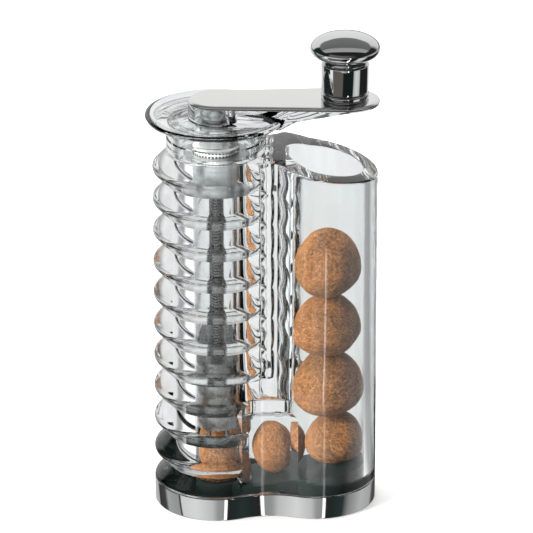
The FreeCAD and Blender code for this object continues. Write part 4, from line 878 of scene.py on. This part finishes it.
def mixed(tree, share, low, high):
    return add(tree, "ShaderNodeMix", {"data_type": "RGBA"}, _0=share, _6=low, _7=high).outputs[2]


def multiplied(tree, first, second):
    settings = {"data_type": "RGBA", "blend_type": "MULTIPLY"}
    return add(tree, "ShaderNodeMix", settings, _0=1.0, _6=first, _7=second).outputs[2]


def step_between(tree, value, low, high):
    return add(tree, "ShaderNodeMapRange", Value=value, _1=low, _2=high, _3=0.0, _4=1.0).outputs[0]


# Cards seen low in the metal.
LOW_CARDS = by_bearing([
    (-176, 0.62), (-140, 0.55), (-136, 0.05), (-112, 0.08), (-104, 0.5), (-82, 0.42), (-76, 0.42),
    (-74, 0.02), (-72, 0.02), (-70, 0.85), (-40, 0.95), (-10, 0.7), (0, 0.42), (12, 0.36), (13.5, 3.0),
    (16, 3.0), (17.5, 0.02), (25, 0.03), (30, "#26322F"), (52, "#333D3B"), (66, 0.32), (96, 0.6),
    (128, 0.5), (140, 0.08), (165, 0.1),
])
# Cards on the table beyond NEAR_TABLE, seen in the metal that stands high above it.
FAR_CARDS = by_bearing([
    (-170, 0.95), (-126, 0.75), (-121, "#1F2B28"), (-78, "#1F2B28"), (-74, 1.1), (-62, 1.1),
    (-58, "#6B6660"), (-10, "#6B6660"), (-6, "#1A2422"), (40, "#1A2422"), (44, 0.62), (58, 0.85),
    (72, 0.62), (76, 0.02), (130, 0.02), (136, 0.8), (172, 0.95),
])
# A bright strip on the table, no farther than this in metres, that draws a streak down the store.
STREAK, STREAK_REACH = by_bearing([(17.0, 0.0), (18.0, 6.0), (20.5, 6.0), (21.5, 0.0)]), 0.28
# Cards seen through the clear pieces, by bearing share: 0.5 is behind the object, 0 and 1 in front.
CLEAR_CARDS = [
    (0.0, 0.9), (0.03, 1.3), (0.1, 1.4), (0.12, 0.12), (0.15, 0.1), (0.19, 1.2), (0.27, 1.3),
    (0.32, 0.15), (0.35, 0.2), (0.4, 0.8), (0.5, 0.86), (0.6, 0.8), (0.65, 0.12), (0.69, 0.2),
    (0.74, 1.0), (0.81, 0.9), (0.85, 0.1), (0.89, 0.12), (0.92, 0.7), (0.96, 0.7), (1.0, 0.9),
]
# Cards that stand higher than the table's edge, seen in upright metal.
WALLS = by_bearing([
    (-176, 0.95), (-130, 0.85), (-124, "#1F2B28"), (-60, "#1F2B28"), (-54, 0.16), (0, 0.14), (40, 0.02),
    (120, 0.03), (136, 0.8), (172, 0.95),
])
# Over the table from the back, share 0, through straight above, share 0.5, to the front, share 1.
OVERHEAD = [(0.0, 0.9), (0.2, 0.9), (0.215, 0.22), (0.42, 0.16), (0.44, 0.42), (0.57, 0.45), (0.6, 0.02),
            (1.0, 0.02)]
# Slats that the ribs draw out into streaks, by height in the room and by distance on the table.
HIGH_SLATS = [
    (0.0, 0.95), (0.04, 0.95), (0.055, 0.12), (0.085, 0.12), (0.1, 1.0), (0.15, 1.0), (0.165, 0.2),
    (0.19, 0.2), (0.205, 1.0), (0.28, 1.0), (0.295, 0.15), (0.33, 0.15), (0.35, 1.05), (0.44, 1.0),
    (0.455, 0.3), (0.49, 0.3), (0.51, 1.05), (0.6, 1.0), (0.615, 0.2), (0.64, 0.2), (0.66, 1.1), (1.0, 1.0),
]
TABLE_SLATS = [
    (0.0, 1.0), (0.36, 1.05), (0.46, 1.05), (0.475, 0.12), (0.52, 0.12), (0.535, 1.05), (0.62, 1.0),
    (0.635, 0.12), (0.67, 0.12), (0.685, 1.05), (0.76, 1.0), (0.775, 0.15), (0.82, 0.15), (0.835, 1.05),
    (1.0, 0.95),
]

world = bpy.data.worlds.new("studio")
bpy.context.scene.world = world
world.use_nodes = True
tree = world.node_tree
tree.nodes.clear()
sky = add(tree, "ShaderNodeTexCoord")
way = add(tree, "ShaderNodeSeparateXYZ", Vector=sky.outputs["Generated"])
bearing = bearing_share(tree, way.outputs[0], way.outputs[1])
raised = step_between(tree, way.outputs[2], -0.02, 0.04)
pitch = add(tree, "ShaderNodeMath", {"operation": "ARCTAN2"}, _0=way.outputs[2], _1=way.outputs[1])
over = tones(tree, step_between(tree, pitch.outputs[0], 0.0, math.pi), OVERHEAD)
standing = mixed(tree, step_between(tree, way.outputs[2], 0.55, 0.62), tones(tree, bearing, WALLS), over)
metal_room = mixed(tree, raised, tones(tree, bearing, LOW_CARDS), standing)
overhead = step_between(tree, way.outputs[2], 0.35, 0.7)
clear_room = mixed(tree, overhead, tones(tree, bearing, CLEAR_CARDS, "EASE"), (0.9, 0.9, 0.9, 1))
clear_room = multiplied(tree, clear_room, tones(tree, way.outputs[2], HIGH_SLATS))
ray = add(tree, "ShaderNodeLightPath")
plain = mixed(tree, ray.outputs["Is Glossy Ray"], (0.34, 0.34, 0.34, 1), metal_room)
plain = mixed(tree, ray.outputs["Is Transmission Ray"], plain, clear_room)
plain = mixed(tree, ray.outputs["Is Camera Ray"], plain, (1, 1, 1, 1))
light = add(tree, "ShaderNodeBackground", Color=plain, Strength=1.0)
add(tree, "ShaderNodeOutputWorld", Surface=light.outputs[0])

# White paper to the camera. Close to the object its glow is painted weaker, a painted shade under the
# real shadow. Up to NEAR_TABLE, metal sees through it to the low cards; farther out it sees the far cards.
NEAR_TABLE, TABLE_HALF, MIDDLE_X, CARD_EDGE = 0.12, 900, 0.018, 0.02
SLAT_REACH, PAINTED_SHADE_REACH, WHITE_SHARE = 0.9, (-0.06, 0.16), 0.25
corners = [(-TABLE_HALF, -TABLE_HALF, 0), (TABLE_HALF, -TABLE_HALF, 0),
           (TABLE_HALF, TABLE_HALF, 0), (-TABLE_HALF, TABLE_HALF, 0)]
floor = new_piece("studio_floor", corners, [(0, 1, 2, 3)])
paper, tree = new_material("paper_sweep_white")
place = add(tree, "ShaderNodeTexCoord")
spot = add(tree, "ShaderNodeMapping", Vector=place.outputs["Object"], Location=(-MIDDLE_X, 0, 0))
way = add(tree, "ShaderNodeSeparateXYZ", Vector=spot.outputs[0])
bearing = bearing_share(tree, way.outputs[0], way.outputs[1])
reach = add(tree, "ShaderNodeVectorMath", {"operation": "LENGTH"}, _0=spot.outputs[0])
distance = reach.outputs["Value"]
near = step_between(tree, distance, NEAR_TABLE + CARD_EDGE, NEAR_TABLE)
ray = add(tree, "ShaderNodeLightPath")
lit = add(tree, "ShaderNodeBsdfDiffuse", Color=linear("#F4F4F4"))
in_streak = step_between(tree, distance, STREAK_REACH + CARD_EDGE, STREAK_REACH)
streak = mixed(tree, in_streak, (0, 0, 0, 1), tones(tree, bearing, STREAK))
far_tone = add(tree, "ShaderNodeMix", {"data_type": "RGBA", "blend_type": "ADD"}, _0=1.0,
               _6=tones(tree, bearing, FAR_CARDS), _7=streak).outputs[2]
far_cards = add(tree, "ShaderNodeEmission", Color=far_tone, Strength=1.0)
passing = add(tree, "ShaderNodeBsdfTransparent")
for_metal = add(tree, "ShaderNodeMixShader", _0=near, _1=far_cards.outputs[0], _2=passing.outputs[0])
slats = tones(tree, step_between(tree, distance, 0.0, SLAT_REACH), TABLE_SLATS)
clear_cards = mixed(tree, WHITE_SHARE, tones(tree, bearing, CLEAR_CARDS, "EASE"), (1, 1, 1, 1))
clear_cards = multiplied(tree, clear_cards, slats)
for_clear = add(tree, "ShaderNodeEmission", Color=clear_cards, Strength=1.0)
shader = add(tree, "ShaderNodeMixShader", _0=ray.outputs["Is Glossy Ray"], _1=lit.outputs[0],
             _2=for_metal.outputs[0])
shader = add(tree, "ShaderNodeMixShader", _0=ray.outputs["Is Transmission Ray"], _1=shader.outputs[0],
             _2=for_clear.outputs[0])
# The paper's glow is painted weaker near the object: painted shade round its foot.
glow_past_painted_shade = step_between(tree, distance, *PAINTED_SHADE_REACH)
white = add(tree, "ShaderNodeEmission", Color=(1, 1, 1, 1), Strength=glow_past_painted_shade)
shown = add(tree, "ShaderNodeBsdfDiffuse", Color=linear("#A8A5A2"))
paper_with_painted_shade = add(tree, "ShaderNodeAddShader", _0=shown.outputs[0], _1=white.outputs[0])
finish_with(tree, add(tree, "ShaderNodeMixShader", _0=ray.outputs["Is Camera Ray"], _1=shader.outputs[0],
                      _2=paper_with_painted_shade.outputs[0]))
dress(floor, paper)


def soft_light(name, place, aim, size, power):
    lamp = bpy.data.lights.new(name, "AREA")
    lamp.shape, lamp.size, lamp.size_y, lamp.energy = "RECTANGLE", size[0], size[1], power
    made = bpy.data.objects.new(name, lamp)
    made.location = place
    made.rotation_euler = (Vector(aim) - Vector(place)).to_track_quat("-Z", "Y").to_euler()
    made.visible_glossy = made.visible_transmission = False
    bpy.context.scene.collection.objects.link(made)


soft_light("softbox_over", (-0.05, 0.16, 0.7), (0.02, 0, 0.0), (0.5, 0.4), 9.0)
soft_light("softbox_left", (-0.7, -0.5, 0.35), (0.02, 0, 0.08), (0.25, 0.6), 27.0)


# ---- Camera -----------------------------------------------------------------------------------
# It stands in front and a little above, so far away that the object is drawn almost parallel, and
# its view is sized by how many millimetres of the object a pixel covers.

CAMERA_AZIMUTH, CAMERA_ELEVATION = math.radians(-0.9), math.radians(22.25)
CAMERA_DISTANCE, VIEW_CENTRE, PIXEL_MM, FRAME_PIXELS = 1600.0, (18.45, 0.0, 93.0), 0.37, 533
lens = bpy.data.cameras.new("camera")
camera = bpy.data.objects.new("camera", lens)
bpy.context.scene.collection.objects.link(camera)
bpy.context.scene.camera = camera
away = Vector((math.sin(CAMERA_AZIMUTH) * math.cos(CAMERA_ELEVATION),
               -math.cos(CAMERA_AZIMUTH) * math.cos(CAMERA_ELEVATION), math.sin(CAMERA_ELEVATION)))
camera.location = (Vector(VIEW_CENTRE) + away * CAMERA_DISTANCE) * MM
camera.rotation_euler = (-away).to_track_quat("-Z", "Y").to_euler()
lens.sensor_fit, lens.sensor_width = "HORIZONTAL", 36.0
lens.lens = lens.sensor_width * (CAMERA_DISTANCE / PIXEL_MM) / FRAME_PIXELS
lens.clip_start, lens.clip_end = 0.1, 20.0
bpy.context.scene.view_settings.view_transform = "Standard"
